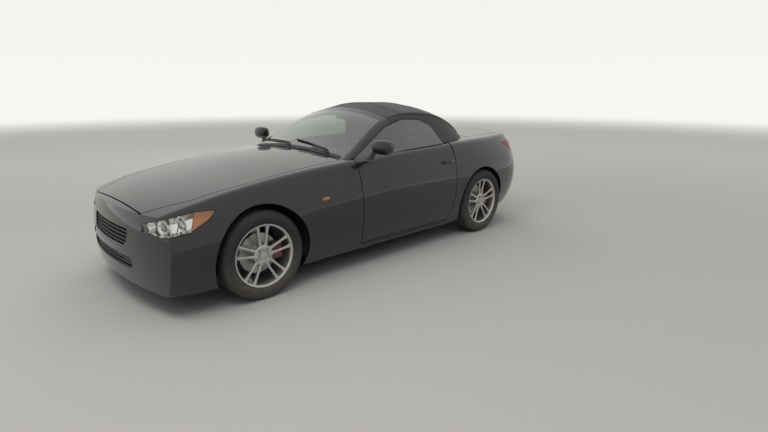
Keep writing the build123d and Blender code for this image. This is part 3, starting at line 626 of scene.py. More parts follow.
def wheel(corner, side, half, axle):
    """A wheel's tyre, rim, bolts, cap and valve, and its brake caliper behind the spokes."""
    body = "wheel_" + corner
    out = X * side

    def at(x, r, t):
        return vec(side * (half + x), axle + r * math.cos(t), AXLE_Z + r * math.sin(t))

    def around(form, count, row):
        return form.loft([row(k, math.tau * k / count) for k in range(count)], caps=False, around=True)

    profile = tyre_profile() + [(0.07, 0.217, 0), (-0.07, 0.217, 0)]
    tread = around(Form(), TREAD_STEPS, lambda k, t: [at(x, r - tread_cut(k, x, what), t) for x, r, what in profile])
    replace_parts(tread.made("tread_" + corner, "tyre", 38, body), "tyre_" + corner)

    form = around(Form(), 96, lambda k, t: [at(x, r, t) for x, r in BARREL])
    around(form, 60, lambda k, t: [at(x, r, t) for x, r in HUB])
    for middle in (math.radians(90 + 72 * k) for k in range(5)):
        for way in (1, -1):
            loops = []
            for r, off, width, outer, inner in SPOKE:
                section = [(u + way * off, v + (outer + inner) / 2)
                           for u, v in oval(14, width / 2, (outer - inner) / 2, 0.62)]
                loops.append([at(v, math.hypot(r, u), middle + math.atan2(u, r)) for u, v in section])
            form.loft(loops)
    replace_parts(form.made("wheel_rim_" + corner, "alloy", 40, body), "rim_" + corner)
    bolts = Form()
    for k in range(5):
        base = at(0.0835, 0.0545, math.radians(54 + 72 * k))
        bolts.turned(BOLT_SEAT, base, out, 18).turned(BOLT_HEAD, base, out, 6)
    bolts.made("wheel_bolts_" + corner, "steel", 30, body)
    Form().turned(WHEEL_CAP, at(0.08, 0, 0), out, 48).made("wheel_cap_" + corner, "alloy", 30, body)
    start, end = (at(x, r, math.radians(126)) for x, r in ((0.066, 0.2035), (0.092, 0.188)))
    valve = Form().sweep([start.lerp(end, t) for t in (0, 0.3, 0.35, 0.75)], [0.0055, 0.005, 0.0035, 0.0035])
    valve.sweep([start.lerp(end, t) for t in (0.72, 0.74, 1)], [0.003, 0.0045, 0.0042])
    valve.made("valve_" + corner, "rubber", 32, body)

    middle = vec(side * (half + 0.0245), axle + 0.135, AXLE_Z)
    form = Form().bar(middle, (0.029, 0.08, 0.124), 0.009, segments=3)
    for z in (-0.032, 0.032):
        form.turned([(0, 0.024), (0.0012, 0.024), (0.0016, 0.0205), (0, 0.0205)],
                    middle + vec(side * 0.0143, -0.006, z), out, 28)
    form.bar(middle + vec(side * 0.004, 0.03, 0), (0.024, 0.014, 0.1), 0.004)
    for z in (-0.0459, 0.0459):
        form.turned([(-0.002, 0.0075), (0.003, 0.0075), (0.004, 0.006), (0.004, 0)],
                    middle + vec(side * 0.0135, 0.022, z), out, 6)
    place, word = corner.split("_")
    form.made("caliper_" + corner, "caliper", 35, "knuckle_" + word if place == "front" else BODY)


for row in WHEELS:
    wheel(*row)


# Lamps
LAMP_TURN = math.radians(50)


class Lamp:
    """A lamp's place on the body: along it, up it, and how deep below its face."""

    def __init__(self, points, x, y, owner):
        way = math.copysign(1, y)
        self.points, self.origin = points, vec(x, y, 0)
        self.outward = vec(math.sin(LAMP_TURN), way * math.cos(LAMP_TURN), 0)
        self.along = vec(math.cos(LAMP_TURN), -way * math.sin(LAMP_TURN), 0)
        self.tree = tree_of(owner)
        self.middle = Vector([sum(p[k] for p in points) / len(points) for k in (0, 1)])
        self.ends = min(a for a, _ in points), max(a for a, _ in points)

    def span(self, a, inset=0.0):
        """The lowest and highest place of the outline at a, drawn in by inset."""
        found = []
        for (a0, z0), (a1, z1) in zip(self.points, self.points[1:] + self.points[:1]):
            if min(a0, a1) <= a <= max(a0, a1) and a0 != a1:
                found.append(z0 + (z1 - z0) * (a - a0) / (a1 - a0))
        return min(found) + inset, max(found) - inset

    def at(self, a, z, depth=0.0):
        """A place below the lamp's face; past the outline's edge the face goes on flat."""
        for k in range(40):
            near = vec(a, z).lerp(self.middle, k / 60)
            start = self.origin + self.along * near.x + Z * near.y + self.outward * 0.5
            hit = self.tree.ray_cast(start, -self.outward)[0]
            if hit is not None:
                break
        flat = self.origin + self.along * a + Z * z
        return flat + self.outward * ((hit - flat).dot(self.outward) - depth)

    def grid(self, depth, a0, a1, columns, rows, inset=0.002, wave=0.0, waves=0):
        lines = []
        for share in shares(columns):
            a = a0 + (a1 - a0) * share
            low, high = self.span(a, inset)
            high = max(high, low + 0.001)
            ripple = wave * math.sin(math.tau * waves * share)
            lines.append([self.at(a, low + (high - low) * up, depth + ripple) for up in shares(rows)])
        return lines

    def sheet(self, outer, inner, *cells, waves=(0.0, 0), inner_waves=(0.0, 0)):
        """A thin solid between two depths, with ripples across one of its faces."""
        return Form().shell(self.grid(outer, *cells, *waves), self.grid(inner, *cells, *inner_waves))

    def rim_line(self, depth, inset, columns=30, ends=5):
        a0, a1 = self.ends[0] + inset, self.ends[1] - inset
        lower, upper = [], []
        for a in (a0 + (a1 - a0) * share for share in shares(columns)):
            low, high = self.span(a, inset)
            lower.append(self.at(a, low, depth))
            upper.append(self.at(a, max(high, low), depth))
        start, end = ([lower[k].lerp(upper[k], s) for s in shares(ends)[1:-1]] for k in (0, -1))
        return lower + end + upper[::-1] + start[::-1]


def lamp_pair(name, form, mat, angle=32):
    return form.with_mirror().made(name, mat, angle)


def lamp_unit(unit, owner, lens, lens_mat, lens_angle, rims, back, seal_depth):
    """A lamp's lens, its case with a back plate, and its seal."""
    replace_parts(lamp_pair(owner[:-1] + "_lenses", lens, lens_mat, lens_angle), owner)
    depth, *cells = back
    case = unit.sheet(depth, depth + 0.003, *cells).loft([unit.rim_line(*row) for row in rims], caps=False)
    lamp_pair(owner[:-1] + "_cases", case, "reflector", 40)
    seal = Form().sweep(unit.rim_line(seal_depth, 0.0035), 0.003, 6, closed=True, up=unit.outward)
    lamp_pair(owner[:-1] + "_seals", seal, "rubber", 60)


def bowl(form, centre, axis, radius, depth, sides=40):
    """A reflector: a hollow dish with a rolled rim that opens along its axis."""
    dish = [(-depth * (1 - share ** 2), radius * share) for share in shares(8)]
    back = [(a - 0.003, r + (0.002 if r == radius else 0)) for a, r in reversed(dish)]
    rolled = [(0.0015, radius + 0.001), (0.0015, radius + 0.0035), (-0.002, radius + 0.0035)]
    return form.turned(dish + rolled + back, centre, axis, sides)


def headlamps():
    unit = Lamp([(-0.232, 0.608), (-0.222, 0.57), (-0.07, 0.548), (0.11, 0.572), (0.215, 0.64), (0.24, 0.69),
                 (0.12, 0.69), (-0.09, 0.652)], 0.665, -1.8, "headlamps")
    lamp_unit(unit, "headlamps", unit.sheet(0, 0.003, -0.229, 0.2375, 72, 16, 0.002), "lamp_clear", 50,
              ((0.0036, 0.002), (0.018, 0.003), (0.052, 0.006), (0.066, 0.016)),
              (0.064, -0.222, 0.228, 40, 8, 0.012), 0.006)
    way = vec(0.3, -0.95, 0).normalized()
    side, over = across(way)
    dishes, bulbs, bezels = Form(), Form(), Form()
    for a, z, r, depth in ((-0.15, 0.598, 0.03, 0.024), (-0.06, 0.603, 0.042, 0.034), (0.045, 0.62, 0.047, 0.036)):
        centre = unit.at(a, z, 0.034)
        bowl(dishes, centre, way, r, depth)
        bezels.sweep([centre + side * u + over * v for u, v in oval(40, r + 0.006, r + 0.006)], 0.0028, 8,
                     closed=True, up=way)
        if r > 0.04:
            lens = [(-0.012, 0), (-0.012, r * 0.6), (0, r * 0.62)]
            lens += [(math.sin(t) * r * 0.42, math.cos(t) * r * 0.6) for t in (math.pi / 2 * s for s in shares(8))]
            bulbs.turned(lens, centre - way * 0.01, way, 36)
            bezels.turned([(-0.01, r * 0.62), (0.002, r * 0.62), (0.003, r * 0.7), (-0.01, r * 0.7)],
                          centre - way * 0.01, way, 36)
        else:
            bulbs.turned([(-0.02, 0), (-0.02, 0.0055), (0.004, 0.0055), (0.009, 0.003), (0.01, 0)], centre, way, 16)
    lamp_pair("headlamp_dishes", dishes, "reflector", 35)
    lamp_pair("headlamp_bulbs", bulbs, "lamp_bulb", 35)
    lamp_pair("headlamp_rings", bezels, "chrome", 40)
    fins = Form()
    for a in (-0.205 + 0.078 * k for k in range(5)):
        low, high = unit.span(a)
        fins.sweep([unit.at(a, low + 0.006, 0.04), unit.at(a, (low + high) / 2, 0.052),
                    unit.at(a, high - 0.006, 0.04)], 0.0022, 6)
    lamp_pair("headlamp_fins", fins, "trim_grey", 40)
    lamp_pair("indicator_lenses", unit.sheet(0.006, 0.011, 0.118, 0.232, 48, 12, 0.005, waves=(0.0008, 12)),
              "lamp_amber", 60)


def tail_lamps():
    unit = Lamp([(-0.15, 0.745), (-0.158, 0.862), (0.04, 0.885), (0.185, 0.868), (0.12, 0.79), (0.04, 0.752)],
                0.705, 1.895, "tail_lamps")
    lamp_unit(unit, "tail_lamps", unit.sheet(0, 0.003, -0.154, 0.181, 60, 16, 0.002, inner_waves=(0.0006, 40)),
              "lamp_red", 60, ((0.0036, 0.002), (0.02, 0.004), (0.04, 0.01)),
              (0.038, -0.146, 0.172, 36, 8, 0.009), 0.005)
    lamp_pair("reversing_lenses", unit.sheet(0.006, 0.01, -0.14, -0.07, 24, 10, 0.01, waves=(0.0006, 8)),
              "lamp_white", 60)
    dishes = Form()
    back = vec(0.42, 0.9, 0).normalized()
    for a in (-0.03, 0.06):
        centre = unit.at(a, 0.822, 0.018)
        bowl(dishes, centre, back, 0.034, 0.018, 32).ball(centre - back * 0.006, 0.009)
    lamp_pair("tail_lamp_dishes", dishes, "reflector", 35)


headlamps()
tail_lamps()


# Grilles and bumper trim. An opening is its half width above and below, its top and its bottom.
GRILLE = (0.36, 0.33, 0.56, 0.425)
INTAKE = (0.39, 0.415, 0.372, 0.29)
OPENING_RADIUS = 0.034


def nose(x, z, inset=0.0):
    """A place on the rounded nose's surface, or a distance inside it."""
    edge = 0.0
    for z0, part in NOSE_EDGE:
        for z1, _ in NOSE_EDGE:
            if z1 != z0:
                part *= (z - z1) / (z0 - z1)
        edge += part
    radius = NOSE_AXIS_Y - edge - inset
    return vec(x, NOSE_AXIS_Y - math.sqrt(radius * radius - x * x), z)


def mesh_grid(name, top_w, bottom_w, top_z, bottom_z, inset=0.034, pitch=0.0145, wire=0.0013):
    """Crossed wires behind an opening."""
    form = Form()

    def at(share, up, depth):
        return nose(share * (bottom_w + (top_w - bottom_w) * up), bottom_z + (top_z - bottom_z) * up, depth)

    for up in shares(int((top_z - bottom_z) / pitch)):
        form.sweep([at(t / 10, up, inset) for t in range(-10, 11)], wire, 5)
    for share in shares(int(2 * min(top_w, bottom_w) / pitch)):
        form.sweep([at(2 * share - 1, up, inset + wire * 1.6) for up in shares(4)], wire, 5)
    form.made(name, "black_plastic", 50)


def rounded_outline(top_w, bottom_w, top_z, bottom_z, grow):
    """(x, z) points of a rounded opening."""
    corners = [vec(-top_w - grow, top_z + grow), vec(top_w + grow, top_z + grow),
               vec(bottom_w + grow, bottom_z - grow), vec(-bottom_w - grow, bottom_z - grow)]
    points = []
    radius = OPENING_RADIUS + grow
    for k, here in enumerate(corners):
        before, after = corners[k - 1], corners[(k + 1) % 4]
        a, b = (here + (other - here).normalized() * radius for other in (before, after))
        points += [a * (1 - t) ** 2 + here * (2 * t * (1 - t)) + b * t * t for t in shares(4)]
        end = after + (here - after).normalized() * radius
        steps = max(2, int((end - b).length / 0.03))
        points += [b.lerp(end, m / steps) for m in range(1, steps)]
    return points


def opening_ring(name, row, width, mat):
    """A shaped surround that lines an opening in the front bumper."""
    outer, inner = rounded_outline(*row, -0.0008), rounded_outline(*row, -width)
    front_out, front_in, back_in, back_out = (
        [nose(p.x, p.y, depth) for p in line]
        for line, depth in ((outer, 0.0015), (inner, 0.004), (inner, 0.018), (outer, 0.018)))
    lip = [a.lerp(b, 0.5) - Y * 0.001 for a, b in zip(front_out, front_in)]
    form = Form().loft([front_out, lip, front_in, back_in, back_out], caps=False, around=True)
    form.made(name, mat, 45)


def front_trim():
    opening_ring("grille_surround", GRILLE, 0.009, "gloss_black")
    opening_ring("intake_surround", INTAKE, 0.007, "black_plastic")
    mesh_grid("grille_mesh", 0.35, 0.322, 0.552, 0.433)
    mesh_grid("intake_mesh", 0.38, 0.404, 0.366, 0.296)
    bars, washers = Form(), Form()
    for x in (-0.17, 0, 0.17):
        bars.sweep([nose(x, z, 0.014) for z in (0.428, 0.46, 0.49, 0.52, 0.557)], 0.005, 8, flat=0.7)
    bars.made("grille_uprights", "gloss_black", 40)
    out = vec(-0.26, -0.965, 0).normalized()
    centre = vec(-0.42, nose(0.42, 0.4).y, 0.398)
    Form().turned([(-0.004, 0), (-0.004, 0.0235), (0.0012, 0.0235), (0.002, 0.022), (0.002, 0)],
                  on_skin(centre + out * 0.2, -out)[0], out, 32).made("tow_cover", "paint", 40)
    for _, side in SIDES:
        washers.turned([(-0.004, 0), (-0.004, 0.017), (0.0025, 0.0165), (0.0045, 0.012), (0.0045, 0)],
                       *on_skin((side * 0.52, -2.6, 0.575), Y), 28)
    washers.made("washer_covers", "paint", 40)


EXHAUST_START, EXHAUST_END = (0.27, 1.9, 0.2835), (0.27, 2.0355, 0.2681)


def rear_trim():
    centre = vec(0, on_skin((0, 3, 0.775), -Y)[0].y + 0.003, 0.778)
    Form().bar(centre, (0.545, 0.01, 0.128), 0.004).bar(
        centre + vec(0, 0.005, 0.06), (0.545, 0.012, 0.01), 0.004).made(
            "plate_holder", "black_plastic", 40, "boot_lid")
    plate = Form().bar(centre + vec(0, 0.0062, -0.002), (0.52, 0.0024, 0.11), 0.001)
    for x in (-0.19, 0.19):
        plate.turned([(0, 0), (0, 0.006), (0.002, 0.0052), (0.0026, 0.003), (0.0026, 0)],
                     centre + vec(x, 0.007, -0.002), Y, 20)
    plate.made("rear_plate", "plate_blank", 40, "boot_lid")
    lights, reflectors, fins, liners = Form(), Form(), Form(), Form()
    for x in (-0.12, 0.12):
        lights.bar(centre + vec(x, 0.0075, 0.054), (0.045, 0.012, 0.006), 0.002)
    lights.made("plate_lights", "lamp_white", 40, "boot_lid")
    for _, side in SIDES:
        found = [[on_skin((side * (0.5 + 0.115 * i), 3, 0.452 + 0.026 * j), -Y) for i in shares(14)]
                 for j in shares(3)]
        reflectors.shell(*([[hit + normal * lift for hit, normal in row] for row in found]
                           for lift in (0.004, -0.002)))
    reflectors.made("rear_reflectors", "lamp_red", 40)
    for x in (-0.13, -0.045, 0.045, 0.13):
        face = on_skin((x, 3, 0.335), -Y)[0].y
        fins.loft([[(x + half, face + y, z) for y, z in (
            (-0.1, 0.33), (-0.004, 0.345), (0.002, 0.325), (-0.012, 0.302), (-0.1, 0.305))]
                   for half in (-0.003, 0.003)])
    fins.made("rear_fins", "black_plastic", 40)
    start, end = Vector(EXHAUST_START), Vector(EXHAUST_END)
    pipe = (end - start).length
    for _, side in SIDES:
        liners.turned([(pipe + a, r) for a, r in (
            (-0.045, 0.034), (-0.045, 0.0352), (-0.002, 0.0354), (0.0015, 0.0345), (0.002, 0.0328), (-0.001, 0.031),
            (-0.06, 0.0298), (-0.06, 0.0305))], (side * start.x, start.y, start.z), end - start, 48)
    liners.made("exhaust_trims", "chrome", 40)


front_trim()
rear_trim()


# Fabric roof
ROOF = tree_of("soft_top")
# The roof's cloth sags a little between its bows
BOWS = (0.128, 0.33, 0.62, 0.9, 1.24)


def roof_sag(v):
    sag = 0.0
    for y0, y1 in zip(BOWS, BOWS[1:]):
        if y0 <= v.co.y <= y1 and v.co.z > 1.0:
            edge = min(1.0, abs(0.62 - abs(v.co.x)) / 0.25)
            sag += 0.0045 * math.sin(math.pi * (v.co.y - y0) / (y1 - y0)) * edge
    return sag


def roof_layer(name, mat, verts, faces, depth, thickness):
    mesh = mesh_of(name, verts, faces)
    moved_out(mesh, -depth)
    obj = placed(name, mesh)
    modified(obj, "SOLIDIFY", thickness=thickness, offset=-1.0)
    shaded(obj.data, 50)
    return finish_piece(obj, mat)


def roof_cloth():
    """The roof's outer faces, drawn tight over its bows, and a separate lining below."""
    form = bmesh.new()
    form.from_mesh(frame["nodes"]["soft_top"].data)
    bmesh.ops.remove_doubles(form, verts=form.verts, dist=2e-5)
    bmesh.ops.triangulate(form, faces=form.faces[:])
    form.normal_update()
    drop = []
    for face in form.faces:
        centre = face.calc_center_median()
        away = vec(centre.x, 0.25 if centre.y > 0.95 else 0, centre.z - 0.9).normalized()
        covered = ROOF.ray_cast(centre + face.normal * 0.002, face.normal, 0.5)[0] is not None
        if away.dot(face.normal) < 0.3 or covered:
            drop.append(face)
    bmesh.ops.delete(form, geom=drop, context="FACES")
    bmesh.ops.delete(form, geom=[v for v in form.verts if not v.link_faces], context="VERTS")
    for _ in range(7):
        long_edges = [e for e in form.edges if e.calc_length() > 0.03]
        if not long_edges:
            break
        bmesh.ops.subdivide_edges(form, edges=long_edges, cuts=1)
        bmesh.ops.triangulate(form, faces=[f for f in form.faces if len(f.verts) > 3])
    bmesh.ops.beautify_fill(form, faces=form.faces[:], edges=[e for e in form.edges if len(e.link_faces) == 2],
                            method="ANGLE")
    form.normal_update()
    for v in form.verts:
        if not v.is_boundary:
            v.co -= v.normal * roof_sag(v)
    form.verts.index_update()
    verts, faces = [v.co.copy() for v in form.verts], [tuple(v.index for v in f.verts) for f in form.faces]
    area = sum(f.calc_area() for f in form.faces)
    form.free()
    cloth = roof_layer("roof_cloth", "roof_cloth", verts, faces, 0, 0.0035)
    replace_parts(cloth, "soft_top")
    roof_layer("roof_lining", "carpet", verts, faces, 0.0165, 0.003)


def roof_seams():
    ribs, sewn = Form(), Form()
    rows = [([(width * t / 30, y) for t in range(-30, 31)], 0.011, 0.16, Y * 0.007)
            for y, width in ((0.33, 0.53), (0.62, 0.52))]
    rows += [([(side * (0.545 + 0.02 * s ** 2), 0.14 + 0.98 * s) for s in shares(40)], 0.009, 0.18, X * 0.0058)
             for _, side in SIDES]
    for line, radius, flat, apart in rows:
        path = [(hit, normal) for hit, normal in (below(ROOF, x, y) for x, y in line) if hit is not None]
        ribs.sweep([p + n * 0.0002 for p, n in path], radius, 8, flat=flat, up=Z)
        for shift in (-apart, apart):
            stitches(sewn, [(p + shift, n) for p, n in path], 0.0052, 0.0036, 0.0005, 0.0016)
    ribs.made("roof_seams", "roof_cloth", 60)
    sewn.made("roof_stitches", "stitch", 60)


roof_cloth()
roof_seams()


# Seats
SEAT_HALF = 0.235
PAD_EDGE = [(1, 0.04), (0.985, 0.022), (0.955, 0.01), (0.9, 0.004), (0.8, 0.001), (0.6, 0), (0.4, 0), (0.2, 0)]
PAD_RINGS = [(-share, inset) for share, inset in PAD_EDGE] + [(0, 0)] + PAD_EDGE[::-1]
CUSHION = [(0.03, 0.262), (0.3, 0.258), (0.59, 0.268), (0.585, 0.32), (0.552, 0.392), (0.3, 0.408), (0.12, 0.424),
           (0.05, 0.418), (0.026, 0.37)]
BACKREST = [(0.505, 0.318), (0.56, 0.305), (0.636, 0.325), (0.69, 0.48), (0.742, 0.66), (0.764, 0.785),
            (0.735, 0.806), (0.69, 0.818), (0.62, 0.792), (0.578, 0.66), (0.54, 0.48)]
HEADREST = [(0.672, 0.836), (0.716, 0.822), (0.758, 0.842), (0.78, 0.915), (0.776, 0.952), (0.738, 0.964),
            (0.704, 0.955), (0.678, 0.9)]
CLOTH_FRAMES = 20


def inflated(obj, cap):
    """Swells a padded form with cloth pressure, and keeps each point within cap of where it began."""
    start = [v.co.copy() for v in obj.data.vertices]
    cloth = obj.modifiers.new("cloth", "CLOTH")
    cloth.settings.quality = 4
    cloth.settings.mass = 0.3
    cloth.settings.use_pressure = True
    cloth.settings.uniform_pressure_force = 4.0
    cloth.settings.effector_weights.gravity = 0
    cloth.point_cache.frame_start, cloth.point_cache.frame_end = 1, CLOTH_FRAMES
    for number in range(1, CLOTH_FRAMES + 1):
        scene.frame_set(number)
    applied(obj)
    for v, old in zip(obj.data.vertices, start):
        move = v.co - old
        if move.length > cap:
            v.co = old + move.normalized() * cap
    scene.frame_set(1)


def side_loop(points, x, inset, count=72):
    """An outline in side view (y, z), drawn in by inset, as evenly spaced points at that x."""
    flat = [vec(0, y, z) for y, z in points]
    centre = sum(flat, Vector()) / len(flat)
    line = even(smooth_path(flat, 6, closed=True), 0.001)
    row = [line[int(k * (len(line) / count))] for k in range(count)]
    moved = []
    for k, p in enumerate(row):
        way = (row[(k + 1) % count] - row[k - 1]).normalized()
        inward = vec(0, -way.z, way.y)
        p = p + inward * (-inset if inward.dot(centre - p) < 0 else inset)
        moved.append((x, p.y, p.z))
    return moved


def seat_surface(v, kind):
    """How far a pad's skin is drawn in at a place, for bolsters and sewn channels."""
    u = abs(v.x - SEAT_X) / SEAT_HALF
    if kind == "back" and 0.4 < v.z < 0.78 and v.y < 0.565 + (v.z - 0.32) * 0.235:
        along, dish = v.z - 0.4, 0.02 * math.sin(math.pi * (v.z - 0.4) / 0.38) ** 0.5
    elif kind == "cushion" and v.z > 0.34 and 0.07 < v.y < 0.56:
        along, dish = v.y - 0.07, 0.022 * min(1.0, (v.y - 0.07) / 0.12, (0.6 - v.y) / 0.05)
    else:
        return 0.0
    channel = 0.0045 * (0.5 - 0.5 * math.cos(math.tau * along / 0.062)) ** 6 if u < 0.56 else 0
    return -dish * (1 - min(1.0, u / 0.62) ** 4) - channel - 0.008 * math.exp(-((u - 0.6) / 0.035) ** 2)


def padded_piece(name, points, half, kind, cap):
    """A pad of the left seat: even mesh, cloth pressure, then its channels, and a mirrored twin."""
    shape = Form().loft([side_loop(points, SEAT_X + (half - 0.004) * share, inset) for share, inset in PAD_RINGS])
    obj = placed(name, mesh_of(name, shape.verts, shape.faces))
    with edited(obj.data) as form:
        bmesh.ops.recalc_face_normals(form, faces=form.faces)
    modified(obj, "REMESH", mode="VOXEL", voxel_size=0.0075)
    softened(obj.data, 3)
    inflated(obj, cap)
    softened(obj.data, 2)
    moved_out(obj.data, lambda v: seat_surface(v, kind))
    softened(obj.data, 1, 0.3)
    verts, faces = [v.co.copy() for v in obj.data.vertices], [tuple(p.vertices) for p in obj.data.polygons]
    bpy.data.objects.remove(obj)
    made = Form().add(verts, faces).with_mirror().made(name, "leather", 180)
    return made, BVHTree.FromPolygons(verts, faces)


def seats():
    cushion, cushion_tree = padded_piece("seat_cushions", CUSHION, SEAT_HALF, "cushion", 0.012)
    _, back_tree = padded_piece("seat_backs", BACKREST, SEAT_HALF, "back", 0.012)
    padded_piece("headrests", HEADREST, 0.128, "head", 0.008)
    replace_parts(cushion, "seats")
    sewn, piping, base, shells = Form(), Form(), Form(), Form()
    for side in (1, -1):
        x = SEAT_X + side * SEAT_HALF * 0.6
        for line in ([below(cushion_tree, x, 0.07 + 0.47 * s, 1) for s in shares(40)],
                     [back_tree.ray_cast(vec(x, -0.5, 0.4 + 0.385 * s), Y)[:2] for s in shares(40)]):
            line = [(hit, normal) for hit, normal in line if hit is not None]
            piping.sweep([p + n * 0.0012 for p, n in line], 0.0028, 6)
            stitches(sewn, [(p + X * side * 0.007, n) for p, n in line], 0.0062, 0.0042, 0.0006, 0.0012)
    sewn.with_mirror().made("seat_stitches", "stitch", 60)
    piping.with_mirror().made("seat_piping", "trim_grey", 60)
    for x in (SEAT_X - 0.165, SEAT_X + 0.165):
        base.bar((x, 0.3, 0.186), (0.034, 0.5, 0.015)).bar((x, 0.3, 0.199), (0.022, 0.5, 0.012))
        base.bar((x, 0.3, 0.228), (0.012, 0.48, 0.052), 0.003)
        for y in (0.075, 0.525):
            base.turned([(0, 0), (0, 0.01), (0.006, 0.01), (0.008, 0.008), (0.008, 0)], (x, y, 0.193), Z, 6)
    base.bar((SEAT_X, 0.3, 0.25), (0.36, 0.47, 0.012), 0.004)
    base.sweep([(SEAT_X + x, y, z) for x, y, z in ((-0.09, 0.035, 0.238), (-0.09, 0.022, 0.236),
                                                   (0.09, 0.022, 0.236), (0.09, 0.035, 0.238))], 0.005, 8)
    for x in (SEAT_X - 0.055, SEAT_X + 0.055):
        base.turned([(0, 0), (0, 0.006), (0.075, 0.006), (0.075, 0)], (x, 0.706, 0.79), (0, 0.16, 1), 14)
    base.with_mirror().made("seat_bases", "frame_metal", 35)
    for side in (1, -1):
        x = SEAT_X + side * 0.208
        shells.loft([[(x + side * out, 0.1 + 0.42 * s, z) for out, z in (
            (0, 0.268), (0.006, 0.264), (0.01, 0.244), (0.01, 0.215), (0.004, 0.205), (0, 0.208))] for s in shares(6)])
        shells.bar((x + side * 0.013, 0.25, 0.24), (0.006, 0.06, 0.012))
        shells.bar((x + side * 0.013, 0.34, 0.24), (0.006, 0.02, 0.02), 0.003)
    shells.with_mirror().made("seat_side_shells", "trim", 40)


seats()


# Cabin
STEERED = "steering_wheel"
# From the steering wheel's middle: each spoke's start and end, and half its width there
SPOKES = (((-0.045, -0.004), (-0.176, 0.014), 0.026, 0.015), ((0.045, -0.004), (0.176, 0.014), 0.026, 0.015),
          ((0, -0.045), (0, -0.176), 0.024, 0.018))
WHEEL_PAD = ((-0.02, 0.78), (-0.018, 0.92), (-0.008, 1), (0.008, 0.98), (0.016, 0.9), (0.0205, 0.72), (0.0215, 0.4),
             (0.0218, 0.05))
SHROUD = [(-0.2, 0), (-0.2, 0.04), (-0.15, 0.046), (-0.08, 0.044), (-0.052, 0.04), (-0.046, 0.034), (-0.046, 0)]


def steering():
    """The steering wheel's leather rim, spokes, centre pad and stalks."""
    axis = vec(0, math.cos(COLUMN_TILT), math.sin(COLUMN_TILT))
    rise = axis.cross(X).normalized()
    if rise.z < 0:
        rise = -rise

    def at(u, v, out=0.0):
        return WHEEL_CENTRE + X * u + rise * v + axis * out

    def grip(c, s):
        """The rim is thicker a little above its middle, where it is held."""
        return math.exp(-((math.degrees(math.atan2(s, abs(c))) - 12) / 13) ** 2)

    ring = Form().sweep([at(u, v) for u, v in oval(96, 0.184, 0.184)],
                        [0.0142 + 0.0018 * grip(c, s) for c, s in oval(96, 1, 1)], 14, closed=True, up=axis)
    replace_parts(ring.made("steering_wheel_rim", "leather", 180, STEERED), STEERED)
    sewn, spokes, stalks = Form(), Form(), Form()
    for t in (math.tau * k / 160 for k in range(160)):
        sewn.sweep([at(math.cos(a) * 0.1702, math.sin(a) * 0.1702, out)
                    for a, out in ((t, 0.0022), (t + 0.018, -0.0022))],
                   0.0007, 4)
    sewn.made("steering_wheel_stitches", "stitch", 60, STEERED)
    for start, end, w0, w1 in SPOKES:
        a, b = Vector(start), Vector(end)
        way = (b - a).normalized()
        loops = []
        for share in shares(8):
            p = a.lerp(b, share)
            w = w0 + (w1 - w0) * math.sin(math.pi / 2 * share)
            out = 0.006 * math.sin(math.pi * share) - 0.002
            loops.append([at(p.x - way.y * c, p.y + way.x * c, out + s) for c, s in oval(12, w, 0.006, 0.6)])
        spokes.loft(loops)
    spokes.made("steering_wheel_spokes", "trim_grey", 40, STEERED)
    hub = Form().loft([[at(u, v - 0.002, out) for u, v in oval(48, 0.06 * grow, 0.05 * grow, 0.75)]
                       for out, grow in WHEEL_PAD])
    hub.made("steering_wheel_pad", "trim", 50, STEERED)
    for side in (1, -1):
        root, tip = at(side * 0.03, 0, -0.062), at(side * 0.135, 0.022, -0.04)
        stalks.sweep([root, root.lerp(tip, 0.5) - axis * 0.006, tip], [0.006, 0.005, 0.0065], 12)
        stalks.sweep([tip.lerp(root, 0.25), tip.lerp(root, 0.12), tip], [0.0062, 0.008, 0.0075], 12)
    stalks.turned(SHROUD, WHEEL_CENTRE, axis, 28).made("column_shroud", "trim", 35)


DASH = tree_of("dashboard")


def dash_point(x, z, out=0.0):
    hit, normal = DASH.ray_cast(vec(x, 0.6, z), -Y)[:2]
    if normal.y < 0:
        normal = -normal
    return hit + normal * out, normal


def dash_panel(form, x0, x1, z0, z1, out, thick, corner=0.012):
    """A raised plate with rounded corners on the face of the dashboard."""
    centre = vec((x0 + x1) / 2, (z0 + z1) / 2)
    outline = []
    for cx, cz, start in ((x1 - corner, z1 - corner, 0), (x0 + corner, z1 - corner, 90),
                          (x0 + corner, z0 + corner, 180), (x1 - corner, z0 + corner, 270)):
        for t in (math.radians(start + 90 * s) for s in shares(4)):
            outline.append(vec(cx + math.cos(t) * corner, cz + math.sin(t) * corner))
    top = out + thick
    return form.loft([[dash_point(*(centre + (p - centre) * share), lift)[0] for p in outline] for share, lift in (
        (1, -0.004), (1, out + thick * 0.6), (0.985, top), (0.5, top), (0.02, top))])


